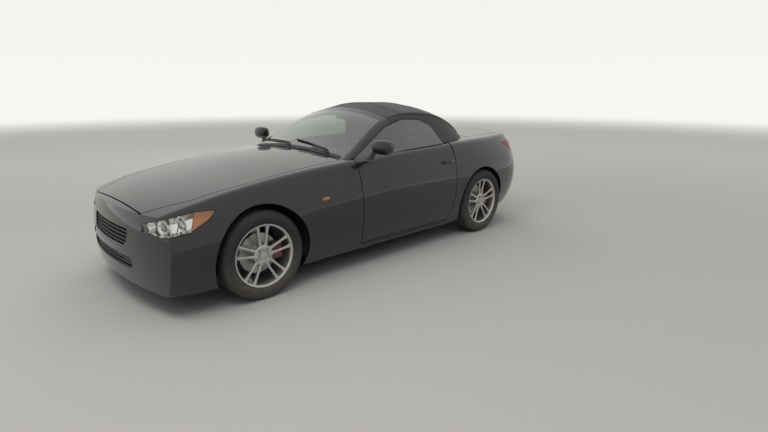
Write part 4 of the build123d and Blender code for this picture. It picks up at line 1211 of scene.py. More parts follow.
def instruments():
    loops = []
    for t in (math.pi * s for s in shares(12)):
        x, z = SEAT_X - math.cos(t) * 0.15, 0.872 + math.sin(t) ** 0.7 * 0.058
        loops.append([(x, y, z - low) for y, low in (
            (-0.128, 0), (-0.122, 0.004), (-0.13, 0.011), (-0.262, 0.02), (-0.27, 0.012), (-0.24, 0.003))])
    Form().loft(loops).made("instrument_hood", "trim", 40)
    dials, marks, bezels, needles = Form(), Form(), Form(), Form()
    tilt, over = vec(0, 0.93, 0.37).normalized(), vec(0, -0.37, 0.93).normalized()
    r = 0.05

    def way_at(angle):
        return X * math.cos(math.radians(angle)) + over * math.sin(math.radians(angle))

    for x in (SEAT_X - 0.062, SEAT_X + 0.062):
        centre = vec(x, -0.118, 0.868) - tilt * 0.018
        dials.turned([(-0.03, 0), (-0.03, r), (0, r), (0, 0)], centre, tilt, 40)
        bezels.turned([(0, r), (0.006, r + 0.001), (0.007, r + 0.004), (0, r + 0.006), (-0.02, r + 0.004)],
                      centre, tilt, 40)
        for k, share in enumerate(shares(24)):
            start, width = (0.76, 0.0011) if k % 4 == 0 else (0.84, 0.0007)
            marks.sweep([centre + way_at(225 - 270 * share) * (r * end) + tilt * 0.0006 for end in (start, 0.93)],
                        width, 4)
        needles.sweep([centre + way_at(222) * end + tilt * 0.003 for end in (-0.008, r * 0.86)], [0.0017, 0.0007], 6)
        needles.turned([(0.0005, 0.006), (0.004, 0.0055), (0.005, 0)], centre, tilt, 20)
    dials.made("dials", "dial", 30)
    marks.made("dial_marks", "dial_mark", 60)
    bezels.made("dial_rims", "trim_grey", 40)
    needles.made("dial_needles", "caliper", 40)


# The dashboard's plates: name, material, and x0, x1, z0, z1, lift, thickness and corner of each
DASH_PLATES = (
    ("dashboard_band", "trim_grey", ((-0.6, -0.165, 0.7, 0.768, 0.0005, 0.004, 0.014),
                                     (0.56, 0.655, 0.7, 0.768, 0.0005, 0.004, 0.014))),
    ("glove_box_lid", "trim", ((-0.585, -0.2, 0.6, 0.69, 0.0005, 0.005, 0.016),
                               (-0.425, -0.36, 0.668, 0.682, 0.0056, 0.004, 0.005))),
    ("centre_stack", "trim", ((-0.125, 0.125, 0.58, 0.8, 0.0005, 0.006, 0.018),)),
    ("radio_display", "gloss_black", ((-0.085, 0.085, 0.722, 0.748, 0.006, 0.0025, 0.004),)))


def dashboard():
    for name, mat, rows in DASH_PLATES:
        form = Form()
        for row in rows:
            dash_panel(form, *row)
        form.made(name, mat, 40)
    keys, vents, slats, seam = Form(), Form(), Form(), Form()
    for x in (-0.0775 + 0.031 * k for k in range(6)):
        dash_panel(keys, x - 0.0135, x + 0.0135, 0.696, 0.712, 0.0064, 0.0032, 0.003)
    for x in (-0.07, 0, 0.07):
        keys.turned([(0, 0), (0, 0.0195), (0.0036, 0.0195), (0.0153, 0.01794), (0.018, 0.01638), (0.018, 0)],
                    *dash_point(x, 0.64, 0.006), 32)
    keys.made("stack_controls", "black_plastic", 35)
    for x in (-0.07, 0.07):
        for m in range(5):
            p = dash_point(x, 0.76 + 0.0075 * m, 0.0085)[0]
            slats.sweep([p - X * 0.048, p + X * 0.048], 0.0016, 6, flat=2.2)
    r = 0.03
    for x in (-0.625, 0.62):
        hit, normal = dash_point(x, 0.735, 0.001)
        vents.turned([(-0.003, r + 0.006), (0.005, r + 0.005), (0.006, r + 0.001), (0.002, r - 0.001),
                      (-0.003, r - 0.001)], hit, normal, 40)
        for z in (m * 0.0075 for m in range(-3, 4)):
            half, p = X * math.sqrt((r - 0.001) ** 2 - z ** 2), hit + Z * z
            slats.sweep([p - half, p + half], 0.0016, 6, flat=2.2)
    vents.made("vent_rings", "trim_grey", 40)
    slats.made("vent_slats", "black_plastic", 40)
    path = [below(DASH, -0.66 + 1.32 * s, -0.19, 1.3)[0] for s in shares(60)]
    stitches(seam, [(hit, Z) for hit in path if hit is not None], 0.0065, 0.0045, 0.0006, 0.0006)
    seam.made("dashboard_stitches", "stitch", 60)


# The gear lever's boot: height, half width, half length and middle of each ring
GEAR_BOOT = ((0.398, 0.052, 0.062, 0.036), (0.404, 0.05, 0.06, 0.036), (0.416, 0.04, 0.05, 0.034),
             (0.424, 0.041, 0.049, 0.034), (0.44, 0.028, 0.034, 0.031), (0.448, 0.029, 0.034, 0.03),
             (0.466, 0.018, 0.021, 0.027), (0.474, 0.018, 0.02, 0.026), (0.486, 0.0125, 0.0135, 0.024))
# The armrest: place along the car, rise and half width
ARMREST = ((0.255, 0, 0.088), (0.262, 0.014, 0.094), (0.3, 0.022, 0.096), (0.44, 0.024, 0.096), (0.59, 0.022, 0.096),
           (0.628, 0.014, 0.094), (0.636, 0, 0.088))


def console_details():
    loops = []
    for z, a, b, y in GEAR_BOOT:
        ripples = [1 + 0.06 * math.sin(4 * math.tau * k / 32) * (0.5 + (0.486 - z) * 4) for k in range(32)]
        loops.append([(u * ripple, y + v * ripple, z) for (u, v), ripple in zip(oval(32, a, b, 0.7), ripples)])
    Form().loft(loops).made("gear_boot", "leather", 60)
    Form().sweep([(u, 0.036 + v, 0.4045) for u, v in oval(48, 0.058, 0.068, 0.5)], 0.004, 8, closed=True, up=Z,
                 flat=0.8).made("gear_frame", "trim_grey", 50)
    knob = Form().ball((0, 0.02, 0.5105), 0.0245, (0.98, 0.98, 1.02), 28)
    knob.turned([(0, 0.012), (0.012, 0.0135), (0.018, 0.0165), (0.022, 0.015)], (0, 0.0215, 0.478), (0, -0.18, 1), 28)
    knob.made("gear_knob", "leather", 60)
    Form().sweep([(0.055, 0.21, 0.445), (0.055, 0.15, 0.462), (0.055, 0.06, 0.474), (0.055, 0.03, 0.472)],
                 [0.012, 0.0135, 0.0145, 0.0125], 16).made("hand_brake", "leather", 60)
    Form().turned([(0, 0), (0, 0.01), (0.01, 0.01), (0.013, 0.007), (0.013, 0)], (0.055, 0.03, 0.472), (0, -1, -0.05),
                  20).made("hand_brake_button", "chrome", 40)
    loops = []
    for y, lift, half in ARMREST:
        z = 0.436 + 0.03 * (y - 0.2) / 0.44
        loops.append([(x, y, z + lift * up) for x, up in (
            (-half, 0), (-half, 0.6), (-half + 0.01, 1), (0, 1.15), (half - 0.01, 1), (half, 0.6), (half, 0))])
    Form().loft(loops).made("console_armrest", "leather", 60)
    holders = Form()
    for y in (-0.085, -0.165):
        holders.turned([(0, 0.037), (0.004, 0.0385), (0.004, 0.0415), (0, 0.043)], (-0.035, y, 0.4195), Z, 40)
    holders.made("cup_holder_rings", "trim_grey", 40)


def pedals():
    rods, pads, mats = Form(), Form(), Form()
    turn = Matrix.Rotation(math.radians(35), 3, "X")
    for x, w, h, z in ((-0.105, 0.042, 0.11, 0.33), (0, 0.07, 0.052, 0.375), (0.105, 0.07, 0.052, 0.375)):
        top, foot = vec(SEAT_X + x, -0.44, 0.585), vec(SEAT_X + x, -0.29, z)
        rods.sweep([top, top.lerp(foot, 0.5) - Y * 0.03, foot - Y * 0.008], 0.007, 10)
        pads.bar(foot, (w, 0.01, h), 0.003, turn)
        for m in range(-2, 3):
            pads.bar(foot + turn @ vec(0, 0.006, m * h / 6), (w * 0.82, 0.004, 0.005), 0.0015, turn)
    rods.made("pedal_arms", "steel", 40)
    pads.made("pedal_pads", "rubber", 40)
    Form().bar((SEAT_X + 0.215, -0.33, 0.3), (0.075, 0.014, 0.15), 0.004, Matrix.Rotation(math.radians(32), 3, "X")
               ).made("foot_rest", "rubber", 40)
    for side in (1, -1):
        loops = []
        for k in range(15):
            y = -0.43 + 0.44 * k / 14
            z = 0.1795 + max(0.0, -0.3 - y) * 0.55
            crown = 0.009 + 0.0012 * math.sin(k * 1.7 + side)
            loops.append([(side * (SEAT_X + x), y, z + up) for x, up in (
                (-0.2, 0), (-0.2, 0.007), (0, crown), (0.2, 0.007), (0.2, 0))])
        mats.loft(loops)
    mats.made("floor_mats", "carpet", 40)


steering()
instruments()
dashboard()
console_details()
pedals()


# Outside trim
# The mirror housing's rings: place out, half height and half length
MIRROR = ((0.822, 0.02, 0.016), (0.8235, 0.034, 0.026), (0.832, 0.046, 0.034), (0.85, 0.054, 0.041),
          (0.885, 0.0585, 0.045), (0.925, 0.059, 0.046), (0.96, 0.0565, 0.043), (0.985, 0.05, 0.037),
          (1, 0.04, 0.029), (1.0075, 0.027, 0.019), (1.0095, 0.012, 0.009))
MIRROR_FOOT = ((0.806, -0.282, 0.884, 0.036), (0.818, -0.278, 0.905, 0.028), (0.83, -0.27, 0.93, 0.024),
               (0.842, -0.262, 0.958, 0.026))


def door_mirrors():
    for word, side in SIDES:
        loops = []
        for x, h, d in MIRROR:
            loop = []
            for c, s in oval(40, 1, 1):
                y = power(c, 0.42) * min(d, 0.04) if c > 0 else power(c, 0.95) * d
                loop.append((x, -0.252 + y, 0.985 + power(s, 0.8) * h))
            loops.append(loop)
        housing = Form().loft(loops)
        housing.loft([[(x + u, y + v, z) for u, v in oval(20, 0.018, w)] for x, y, z, w in MIRROR_FOOT])
        outline = [(0.916 + u, 0.985 + v) for u, v in oval(48, 0.08, 0.048, 0.7, 0.75)]
        glass = Form().loft([[(x, y, z) for x, z in outline] for y in (-0.2155, -0.2105)])
        edge = Form().sweep([(x, -0.2105, z) for x, z in outline], 0.003, 8, closed=True, up=Y)
        seal = Form().sweep([(0.804 + u, -0.283 + v, 0.889) for u, v in oval(24, 0.014, 0.039)], 0.003, 6,
                            closed=True, up=Z)
        for form, name, mat, angle in ((housing, "housing", "paint", 60), (glass, "glass", "mirror_glass", 40),
                                       (edge, "frame", "black_plastic", 50), (seal, "seal", "rubber", 50)):
            if side < 0:
                form.mirrored()
            made = form.made("mirror_%s_%s" % (name, word), mat, angle, "door_" + word)
            if name == "housing":
                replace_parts(made, "mirror_" + word)


def skin_rings(side, y, z, half_y, half_z, count, e, f, rings, tree=SKIN):
    """Ovals on the body's side: one for each (size, height above the skin)."""
    loops = []
    for share, lift in rings:
        found = [from_side(side, y + u, z + v, tree) for u, v in oval(count, half_y * share, half_z * share, e, f)]
        loops.append([hit + way * lift for hit, way in found])
    return loops


def door_handles():
    for word, side in SIDES:
        door, tree = "door_" + word, DOOR[side]
        cup = ((1, 0.0006), (0.93, 0.0012), (0.86, -0.002), (0.55, -0.003), (0.05, -0.003))
        Form().loft(skin_rings(side, 0.668, 0.762, 0.06, 0.026, 40, 0.6, 0.7, cup, tree), caps=False).made(
            "handle_cup_" + word, "black_plastic", 50, door)
        loops = []
        for share in shares(16):
            hit, way = from_side(side, 0.598 + 0.14 * share, 0.768, tree)
            out = 0.0235 * min(1.0, share / 0.13, (1 - share) / 0.13) ** 0.6 + 0.001
            half = 0.0125 - 0.003 * abs(2 * share - 1) ** 3
            loops.append([hit + way * (out + v) + Z * u for u, v in oval(12, half, 0.0042, 0.7, 0.8)])
        Form().loft(loops).made("door_handle_" + word, "paint", 50, door)
    Form().turned([(-0.001, 0), (-0.001, 0.0095), (0.002, 0.009), (0.0024, 0.0075), (0.0018, 0.0065), (0.0018, 0)],
                  *from_side(1, 0.752, 0.766, DOOR[1]), 24).made("door_lock", "trim_grey", 40, "door_left")


def belt_seals():
    for word, side in SIDES:
        panes, path = tree_of("door_glass_" + word), []
        for y in (-0.33 + 1.02 * s for s in shares(44)):
            hit, low = (panes.ray_cast(vec(side * 1.5, y, z), X * -side)[0] for z in (0.955, 0.93))
            if hit is None:
                continue
            x = (low or hit).x + side * 0.007
            top = below(DOOR[side], x, y, 1.4)[0]
            if top is not None:
                path.append(vec(x, y, top.z + 0.0035))
        Form().sweep(path, 0.0065, 8, flat=0.8, up=Z).made("belt_seal_" + word, "rubber", 50, "door_" + word)


SCREEN = tree_of("windscreen")


def screen_point(x, y, lift=0.0):
    hit, normal = below(SCREEN, x, y)
    return hit and hit + (normal if normal.z > 0 else -normal) * lift


def scuttle_and_wipers():
    front, depth, half = -0.4685, 0.0325, 0.63
    Form().shell(*([[screen_point(half * (2 * i - 1), front + depth * j, lift)
                     or screen_point(half * (2 * i - 1) * 0.985, front + depth * j + 0.002, lift)
                     for i in shares(40)] for j in shares(3)] for lift in (0.0036, 0.0006))).made(
        "scuttle_trim", "black_plastic", 40)
    arms, blades = Form(), Form()
    out = vec(0, -0.45, 0.9)
    for pivot_x, tip_x in ((0.47, -0.08), (-0.09, -0.59)):
        pivot = screen_point(pivot_x, -0.448, 0.004)
        arms.turned([(-0.004, 0), (-0.004, 0.012), (0.01, 0.0105), (0.014, 0.0075), (0.014, 0)], pivot, out, 24)
        join = screen_point(pivot_x + (tip_x - pivot_x) * 0.55, -0.398, 0.02)
        elbow = screen_point(pivot_x - 0.06, -0.437, 0.018)
        arms.sweep([pivot + Z * 0.008, elbow, elbow.lerp(join, 0.5), join], [0.008, 0.0062, 0.0048, 0.0036], 10,
                   flat=0.7, up=out)
        path = [screen_point(pivot_x - 0.03 + (tip_x - pivot_x + 0.03) * s, -0.42 + 0.05 * s) for s in shares(32)]
        path = [p for p in path if p is not None]
        blades.sweep([p + vec(0, -0.005, 0.011) for p in path], 0.0048, 8, flat=0.6, up=out)
        blades.sweep([p + vec(0, -0.002, 0.0045) for p in path], 0.0022, 6, flat=2.2, up=vec(0, 0.9, 0.45))
    arms.made("wiper_arms", "black_plastic", 40)
    blades.made("wiper_blades", "rubber", 40)


def side_details():
    repeaters, seals, strips, treads = Form(), Form(), Form(), Form()
    for _, side in SIDES:
        lens = ((1, 0), (0.97, 0.0032), (0.8, 0.005), (0.4, 0.0056), (0.03, 0.0058))
        repeaters.loft(skin_rings(side, -0.76, 0.64, 0.036, 0.013, 32, 0.8, 0.8, lens))
        seals.sweep(skin_rings(side, -0.76, 0.64, 0.036, 0.013, 32, 0.8, 0.8, ((1, 0.0008),))[0], 0.0022, 6,
                    closed=True, up=X * side)
        found = [from_side(side, -0.37 + 1.11 * s, 0.185) for s in shares(40)]
        strips.sweep([hit + way * 0.0005 for hit, way in found], 0.01, 8, flat=0.25, up=Z)
        treads.bar((side * 0.735, 0.18, 0.2095), (0.05, 0.42, 0.0022), 0.0008)
        for k in range(12):
            treads.bar((side * 0.735, 0.01 + 0.031 * k, 0.211), (0.04, 0.01, 0.0014), 0.0004)
    repeaters.made("side_repeaters", "lamp_amber", 50)
    seals.made("side_repeater_seals", "rubber", 50)
    groove = skin_rings(-1, 1.225, 0.812, 0.082, 0.07, 60, 0.6, 0.6, ((1, 0.0002),))[0]
    Form().sweep(groove, 0.0019, 6, closed=True, up=-X, flat=0.5).made("fuel_flap_gap", "rubber", 50)
    strips.made("sill_strips", "black_plastic", 50)
    treads.made("sill_treads", "trim_grey", 40)


door_mirrors()
door_handles()
belt_seals()
scuttle_and_wipers()
side_details()


# Doors, belts and roof fittings inside
DOOR_X = 0.688


def slices(x, y, length, count, grow, section):
    """Rings along a door, from rows of how far in (growing from the ends), height, rise, and how far in as well."""
    return [[(x - fixed - inward * grow(s), y + length * s, z + rise * s) for inward, z, rise, fixed in section]
            for s in shares(count)]


def door_trims():
    for word, side in SIDES:
        card, rest, pulls, mesh, seams = Form(), Form(), Form(), Form(), Form()
        loops = []
        for s in shares(24):
            bulge, top = 0.004 * math.sin(math.pi * s), 0.845 + 0.02 * s
            loops.append([(0.7 - inward, -0.345 + 1.085 * s, z) for inward, z in (
                (0.002, 0.262), (0.01, 0.275), (0.014 + bulge, 0.42), (0.014 + bulge, 0.52), (0.01, 0.545),
                (0.008, 0.64), (0.012, 0.668), (0.016, 0.76), (0.016, top - 0.02), (0.006, top), (-0.0005, top),
                (-0.0005, 0.262))])
        card.loft(loops)
        rest.loft(slices(0.691, 0.06, 0.43, 20, lambda s: min(1.0, s / 0.1 + 0.25, (1 - s) / 0.1 + 0.25) ** 0.6, (
            (0, 0.56, 0, 0), (0.038, 0.57, 0, 0), (0.046, 0.592, 0, 0), (0.04, 0.612, 0.006, 0),
            (0, 0.618, 0.006, 0))))
        pulls.sweep([(DOOR_X, 0.175, 0.735), (0.668, 0.185, 0.738), (0.66, 0.23, 0.741), (0.668, 0.275, 0.744),
                     (DOOR_X, 0.285, 0.746)], [0.006, 0.0075, 0.008, 0.0075, 0.006], 12, flat=0.7)
        pulls.bar((0.683, 0.045, 0.742), (0.01, 0.1, 0.034), 0.008)
        pulls.bar((0.6765, 0.045, 0.742), (0.006, 0.07, 0.016), 0.003)
        centre = vec(0.6845, -0.17, 0.4)
        for z in (m * 0.0092 for m in range(-7, 8)):
            half = math.sqrt(0.07 ** 2 - z ** 2)
            mesh.sweep([centre + vec(0, -half, z), centre + vec(0, half, z)], 0.0018, 6)
        mesh.sweep([centre + vec(0, u, v) for u, v in oval(40, 0.074, 0.074)], 0.0045, 8, closed=True, up=X)
        card.loft(slices(DOOR_X, 0.06, 0.48, 16, lambda s: min(1.0, s / 0.12 + 0.2, (1 - s) / 0.12 + 0.2), (
            (0, 0.3, 0, 0), (0.024, 0.306, 0, 0), (0.03, 0.35, 0, 0), (0.031, 0.4, 0, 0), (0.026, 0.402, 0, 0),
            (0.023, 0.35, 0, 0), (0, 0.32, 0, 0.002))))
        stitches(seams, [(vec(0.6835, -0.33 + 1.05 * s, 0.668), -X) for s in shares(40)], 0.0068, 0.0046, 0.0007,
                 0.0016)
        for form, name, mat, angle in ((card, "door_card_", "trim", 40), (rest, "door_armrest_", "leather", 50),
                                       (pulls, "door_pull_", "trim_grey", 40),
                                       (mesh, "speaker_grille_", "black_plastic", 50),
                                       (seams, "door_stitches_", "stitch", 60)):
            if side < 0:
                form.mirrored()
            made = form.made(name + word, mat, angle, "door_" + word)


def roof_z(x, y, depth):
    hit, normal = below(ROOF, x, y)
    return (hit - normal * depth).z


HOOP = ((0.25, 0.88), (0.25, 0.985), (0.262, 1.012), (0.285, 1.021), (0.435, 1.021), (0.458, 1.012), (0.47, 0.985),
        (0.47, 0.88))
BELT = ((0.56, 0.8, 0.9), (0.52, 0.745, 0.83), (0.5, 0.65, 0.62), (0.53, 0.56, 0.47), (0.578, 0.52, 0.3))


def cabin_mirror():
    head = roof_z(0, 0.15, 0.03)
    centre = vec(0, 0.12, head - 0.062)

    def rounds(rows):
        return [[centre + vec(u, y, v) for u, v in oval(44, w, h, 0.6, 0.75)] for y, w, h in rows]

    form = Form().loft(rounds(((-0.014, 0.1, 0.022), (-0.01, 0.112, 0.029), (0, 0.118, 0.033), (0.008, 0.117, 0.032),
                               (0.0085, 0.111, 0.027))))
    form.sweep([centre + vec(0, -0.012, 0.01), centre + vec(0, -0.02, 0.036), (0, 0.1, head - 0.006)],
               [0.0075, 0.006, 0.009], 12)
    form.made("cabin_mirror", "trim", 50)
    Form().loft(rounds(((0.0075, 0.11, 0.0265), (0.0095, 0.11, 0.0265)))).made(
        "cabin_mirror_glass", "mirror_glass", 50)


def visors_and_belts():
    visors, covers, belts, buckles = Form(), Form(), Form(), Form()
    for _, side in SIDES:
        loops = []
        for x in (side * (0.09 + 0.33 * s) for s in shares(8)):
            z = roof_z(x, 0.165, 0.027)
            loops.append([(x, y, z + up) for y, up in (
                (0.135, -0.012), (0.14, -0.004), (0.27, 0.012), (0.28, 0.006), (0.272, -0.004), (0.145, -0.02))])
        visors.loft(loops)
        covers.sweep([(side * p.x, p.y, p.z) for p in smooth_path([(x, 0.815, z) for x, z in HOOP], 4)], 0.0225, 16)
        path = smooth_path(BELT, 6)
        loops = []
        for k, p in enumerate(path):
            way = (path[min(k + 1, len(path) - 1)] - path[max(k - 1, 0)]).normalized()
            wide = vec(0.75, 0.15, 0)
            wide = (wide - way * wide.dot(way)).normalized() * 0.023
            over = way.cross(wide).normalized() * 0.0007
            loops.append([(side * q.x, q.y, q.z) for q in (p + wide + over, p - wide + over, p - wide - over,
                                                          p + wide - over)])
        belts.loft(loops)
        buckles.bar((side * 0.128, 0.47, 0.455), (0.02, 0.028, 0.066), 0.005,
                    Matrix.Rotation(math.radians(-18), 3, "X"))
        buckles.bar((side * 0.56, 0.806, 0.905), (0.06, 0.016, 0.034), 0.006)
    visors.made("sun_visors", "carpet", 50)
    covers.made("roll_hoop_covers", "trim", 50)
    belts.made("seat_belts", "roof_cloth", 30)
    buckles.made("belt_buckles", "black_plastic", 40)


def carpets():
    Form().loft([[(-0.64 + 1.28 * s, y, z) for y, z in (
        (0.846, 0.7), (0.826, 0.7), (0.824, 0.85), (0.83, 0.872), (0.846, 0.88))] for s in shares(20)]).made(
        "rear_wall_trim", "carpet", 50)
    carpet = Form()
    for side in (1, -1):
        carpet.loft([[(side * x, y, z) for x, z in ((0.121, 0.1785), (0.121, 0.1825), (0.69, 0.1825), (0.69, 0.1785))]
                     for y in (-0.464, -0.2, 0.1, 0.4, 0.7, 0.828)])
    tunnel = [(-0.1215, 0.184), (-0.1215, 0.333), (0.1215, 0.333), (0.1215, 0.184), (0.1201, 0.184), (0.1201, 0.3305),
              (-0.1201, 0.3305), (-0.1201, 0.184)]
    for ends in ((-0.464, -0.3, -0.201), (0.641, 0.75, 0.828)):
        carpet.loft([[(x, y, z) for x, z in tunnel] for y in ends])
    carpet.made("cabin_carpet", "carpet", 50)


door_trims()
cabin_mirror()
visors_and_belts()
carpets()


# Engine bay and boot
# Bars and blocks: name, material, whether they are twinned on the right, and each one's middle, size, bevel and
# number of rows in its bevel
BLOCKS = (
    ("engine_cover", "black_plastic", False, [((0, -1.15, 0.6515), (0.33, 0.56, 0.022), 0.01, 3)]
     + [((x, -1.15, 0.666), (0.036, 0.47, 0.01), 0.004, 2) for x in (-0.105, -0.035, 0.035, 0.105)]),
    ("radiator", "radiator", False, [((0, -1.822, 0.455), (0.62, 0.026, 0.27), 0.003, 2)]
     + [((-0.3 + 0.6 * s, -1.8365, 0.455), (0.003, 0.004, 0.262), 0.0008, 1) for s in shares(44)]),
    ("battery", "gloss_black", False, [((-0.3, -0.64, 0.66), (0.175, 0.24, 0.17), 0.006, 2),
                                       ((-0.3, -0.64, 0.748), (0.172, 0.236, 0.01), 0.003, 2)]),
    ("air_filter_box", "black_plastic", False, [((0.3, -1.56, 0.555), (0.17, 0.23, 0.12), 0.012, 3)]
     + [((0.235 + 0.0215 * k, -1.56, 0.6165), (0.007, 0.2, 0.008), 0.002, 2) for k in range(7)]),
    ("bonnet_latch", "steel", False, [((0, -1.862, 0.6), (0.09, 0.03, 0.022), 0.004, 2)]
     + [((x, -1.862, 0.604), (0.03, 0.022, 0.03), 0.006, 2) for x in (0.3, -0.3)]),
    ("boot_carpet", "carpet", False, [((0, 1.472, 0.4945), (1.09, 0.918, 0.004), 0.001, 2),
                                      ((0, 1.014, 0.6), (1.08, 0.003, 0.2), 0.001, 2)]
     + [((x, 1.472, 0.6), (0.003, 0.9, 0.2), 0.001, 2) for x in (0.5455, -0.5455)]),
    ("boot_floor_pull", "trim_grey", False, [((0, 1.8, 0.4985), (0.1, 0.028, 0.006), 0.002, 2)]),
    # The wheel wells' lower ends, from the liners' cut edge down to the bumpers and the sills
    ("arch_skirts", "black_plastic", True, [
        row for y, inner, radius in ((FRONT_AXLE, 0.45, 0.374), (REAR_AXLE, 0.567, 0.363))
        for way in (-1, 1) for row in (
            ((inner - 0.0045, y + way * (radius - 0.045), 0.266), (0.006, 0.096, 0.136), 0.002, 2),
            (((inner + 0.775) / 2, y + way * radius, 0.266), (0.775 - inner, 0.006, 0.136), 0.002, 2))]))
BELT_ROUTE = ((0.079, 0.38), (0.162, 0.5), (0.12, 0.544), (0.035, 0.605), (-0.035, 0.605), (-0.15, 0.522),
              (-0.166, 0.465), (-0.079, 0.375), (0, 0.301))
BOOSTER = [(0, 0), (0, 0.08), (0.01, 0.112), (0.03, 0.116), (0.034, 0.12), (0.04, 0.116), (0.07, 0.1), (0.092, 0.05),
           (0.098, 0.026), (0.18, 0.024), (0.184, 0.018), (0.184, 0)]


def hose(form, radius, *points):
    return form.sweep(smooth_path(points, 8), radius, 12)


def engine():
    bolts, head, pulley = Form(), Form(), Form()
    for x in (-0.145, 0.145):
        for y in (-1.4, -0.9):
            bolts.turned([(0, 0.01), (0.003, 0.01), (0.003, 0.0065), (0.007, 0.0065), (0.008, 0.005), (0.008, 0)],
                         (x, y, 0.6625), Z, 6)
    bolts.made("engine_cover_bolts", "steel", 30)
    for y in (-1.43 + 0.1 * k for k in range(6)):
        hose(head, 0.019, (0.2, y, 0.6), (0.25, y, 0.612), (0.285, y + 0.01, 0.575), (0.29, y + 0.02, 0.52))
    head.sweep([(0.29, -1.46, 0.52), (0.29, -1.15, 0.515), (0.29, -0.86, 0.5)], 0.032, 16)
    head.with_mirror().made("manifolds", "engine_metal", 40)
    for x, z, r in ((0, 0.38, 0.075), (0.12, 0.5, 0.04), (-0.12, 0.48, 0.048), (0, 0.56, 0.05)):
        pulley.turned([(0, 0), (0, r), (0.004, r + 0.004), (0.007, r), (0.018, r), (0.021, r + 0.004), (0.025, r),
                       (0.025, r * 0.6), (0.018, r * 0.5), (0.018, 0)], (x, -1.501, z), -Y, 36)
    pulley.made("pulleys", "steel", 35)
    ring = even([(x, -1.514, z) for x, z in BELT_ROUTE], 0.02)
    Form().sweep(smooth_path(ring, 2, True), 0.0085, 6, closed=True, flat=0.3, up=Y).made("drive_belt", "rubber", 50)


def radiator_ends_and_fan():
    tanks, fan = Form(), Form()
    for side in (1, -1):
        tanks.bar((side * 0.322, -1.822, 0.455), (0.03, 0.04, 0.285), 0.008)
    tanks.sweep([(-0.3, -1.8, 0.56), (-0.3, -1.785, 0.575), (-0.3, -1.77, 0.576)], 0.019, 14)
    tanks.made("radiator_tanks", "black_plastic", 40)
    centre = vec(0, -1.786, 0.45)
    fan.turned([(0, 0.128), (0, 0.136), (0.026, 0.136), (0.026, 0.128)], centre, Y, 48)
    fan.turned([(0, 0), (0, 0.03), (0.03, 0.028), (0.033, 0.02), (0.033, 0)], centre, Y, 28)
    for c, s in oval(7, 1, 1):
        way, wide = vec(c, 0, s), vec(-s, 0, c)
        loops = []
        for share in shares(4):
            r, w = 0.027 + 0.098 * share, wide * (0.02 + 0.012 * share)
            loops.append([centre + way * r + w * turn + Y * y
                          for turn, y in ((1, 0.02), (-1, 0.006), (-1, 0.009), (1, 0.023))])
        fan.loft(loops)
    fan.made("radiator_fan", "black_plastic", 35)


def battery_fittings():
    posts, leads = Form(), Form()
    for y in (-0.56, -0.72):
        posts.turned([(0, 0.01), (0.014, 0.009), (0.014, 0)], (-0.35, y, 0.752), Z, 20)
        posts.bar((-0.35, y, 0.761), (0.034, 0.024, 0.012), 0.003)
    posts.made("battery_clamps", "steel", 40)
    hose(leads, 0.0065, (-0.35, -0.72, 0.765), (-0.35, -0.79, 0.75), (-0.33, -0.86, 0.64), (-0.26, -0.9, 0.56))
    hose(leads, 0.0065, (-0.35, -0.56, 0.765), (-0.385, -0.54, 0.745), (-0.389, -0.54, 0.64))
    leads.made("battery_leads", "cable", 50)


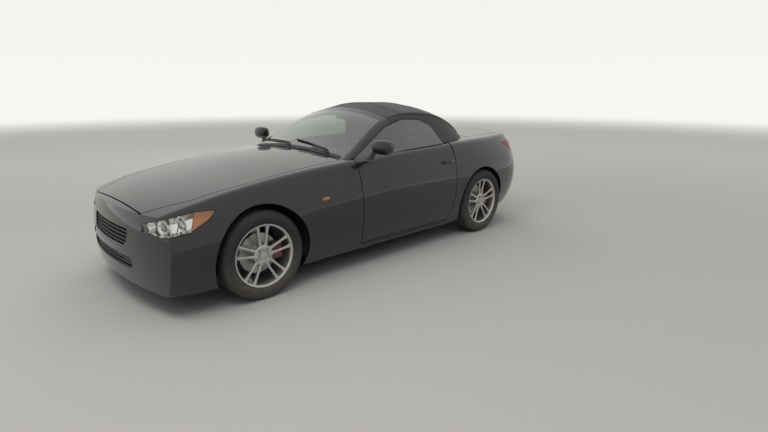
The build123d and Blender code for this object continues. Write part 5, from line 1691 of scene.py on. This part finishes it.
def hoses_and_reservoirs():
    pipes, caps = Form(), Form()
    hose(pipes, [0.036 * (1 + 0.06 * math.cos(k * 1.4)) for k in range(25)],
         (0.3, -1.445, 0.56), (0.3, -1.36, 0.58), (0.265, -1.3, 0.64), (0.2, -1.26, 0.67))
    hose(pipes, 0.019, (-0.3, -1.77, 0.576), (-0.3, -1.69, 0.59), (-0.24, -1.6, 0.61), (-0.12, -1.52, 0.6))
    hose(pipes, 0.019, (0.29, -1.8, 0.33), (0.29, -1.7, 0.34), (0.2, -1.6, 0.38), (0.1, -1.51, 0.42))
    hose(pipes, 0.01, (0.3, -0.56, 0.69), (0.28, -0.7, 0.7), (0.22, -0.82, 0.65), (0.18, -0.85, 0.625))
    pipes.made("hoses", "rubber", 50)
    Form().bar((-0.31, -1.56, 0.56), (0.13, 0.17, 0.12), 0.024, segments=3).bar(
        (0.325, -0.93, 0.64), (0.09, 0.11, 0.11), 0.018, segments=3).made("reservoirs", "tank", 50)
    for x, y, z in ((-0.31, -1.56, 0.619), (0.325, -0.93, 0.694)):
        caps.turned([(0, 0.026), (0.014, 0.026), (0.018, 0.022), (0.018, 0)], (x, y, z), Z, 24)
        for u, v in oval(12, 0.026, 0.026):
            caps.bar((x + u, y + v, z + 0.008), (0.004, 0.004, 0.01), 0.001, segments=1)
    caps.made("reservoir_caps", "black_plastic", 35)


def booster_and_strut_mounts():
    tops = Form()
    Form().turned(BOOSTER, (0.28, -0.4815, 0.69), -Y, 44).made("brake_booster", "gloss_black", 35)
    for side in (1, -1):
        x = side * 0.548
        tops.turned([(0, 0.078), (0.004, 0.078), (0.007, 0.07), (0.018, 0.055), (0.02, 0.03), (0.012, 0.022),
                     (0.012, 0)], (x, FRONT_AXLE, 0.7305), Z, 40)
        for t in (math.tau * k / 3 + 0.5 for k in range(3)):
            tops.turned([(0, 0.009), (0.008, 0.009), (0.009, 0.007), (0.009, 0)],
                        (x + math.cos(t) * 0.064, FRONT_AXLE + math.sin(t) * 0.064, 0.7345), Z, 6)
    tops.made("strut_mounts", "steel", 35)


def side_panels():
    """The body's sides, without the 3 mm strip that the solids leave along the top of the door openings."""
    mesh = frame["nodes"]["body_sides"].data.copy()
    end_y = 0.778

    def in_strip(v):
        return abs(v.co.x) < 0.6936 and v.co.y < 0.801 and v.co.z > 0.85

    def on_cut(v):
        return in_strip(v) and abs(v.co.y - end_y) < 1e-5

    with edited(mesh) as form:
        strip = [f for f in form.faces if all(in_strip(v) for v in f.verts)]
        around = list({e for f in strip for e in f.edges}) + list({v for f in strip for v in f.verts})
        bmesh.ops.bisect_plane(form, geom=strip + around, plane_co=(0, end_y, 0), plane_no=(0, 1, 0),
                               clear_inner=True)
        bmesh.ops.remove_doubles(form, verts=[v for v in form.verts if on_cut(v)], dist=1e-5)
        bmesh.ops.holes_fill(form, edges=[e for e in form.edges if e.is_boundary and all(map(on_cut, e.verts))])
    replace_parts(finish_piece(placed("body_side_panels", mesh), "paint", BODY), "body_sides")


for name, mat, twin, rows in BLOCKS:
    blocks = Form()
    for centre, size, bevel, segments in rows:
        blocks.bar(centre, size, bevel, segments=segments)
    (blocks.with_mirror() if twin else blocks).made(name, mat, 40)
engine()
radiator_ends_and_fan()
battery_fittings()
hoses_and_reservoirs()
booster_and_strut_mounts()
side_panels()
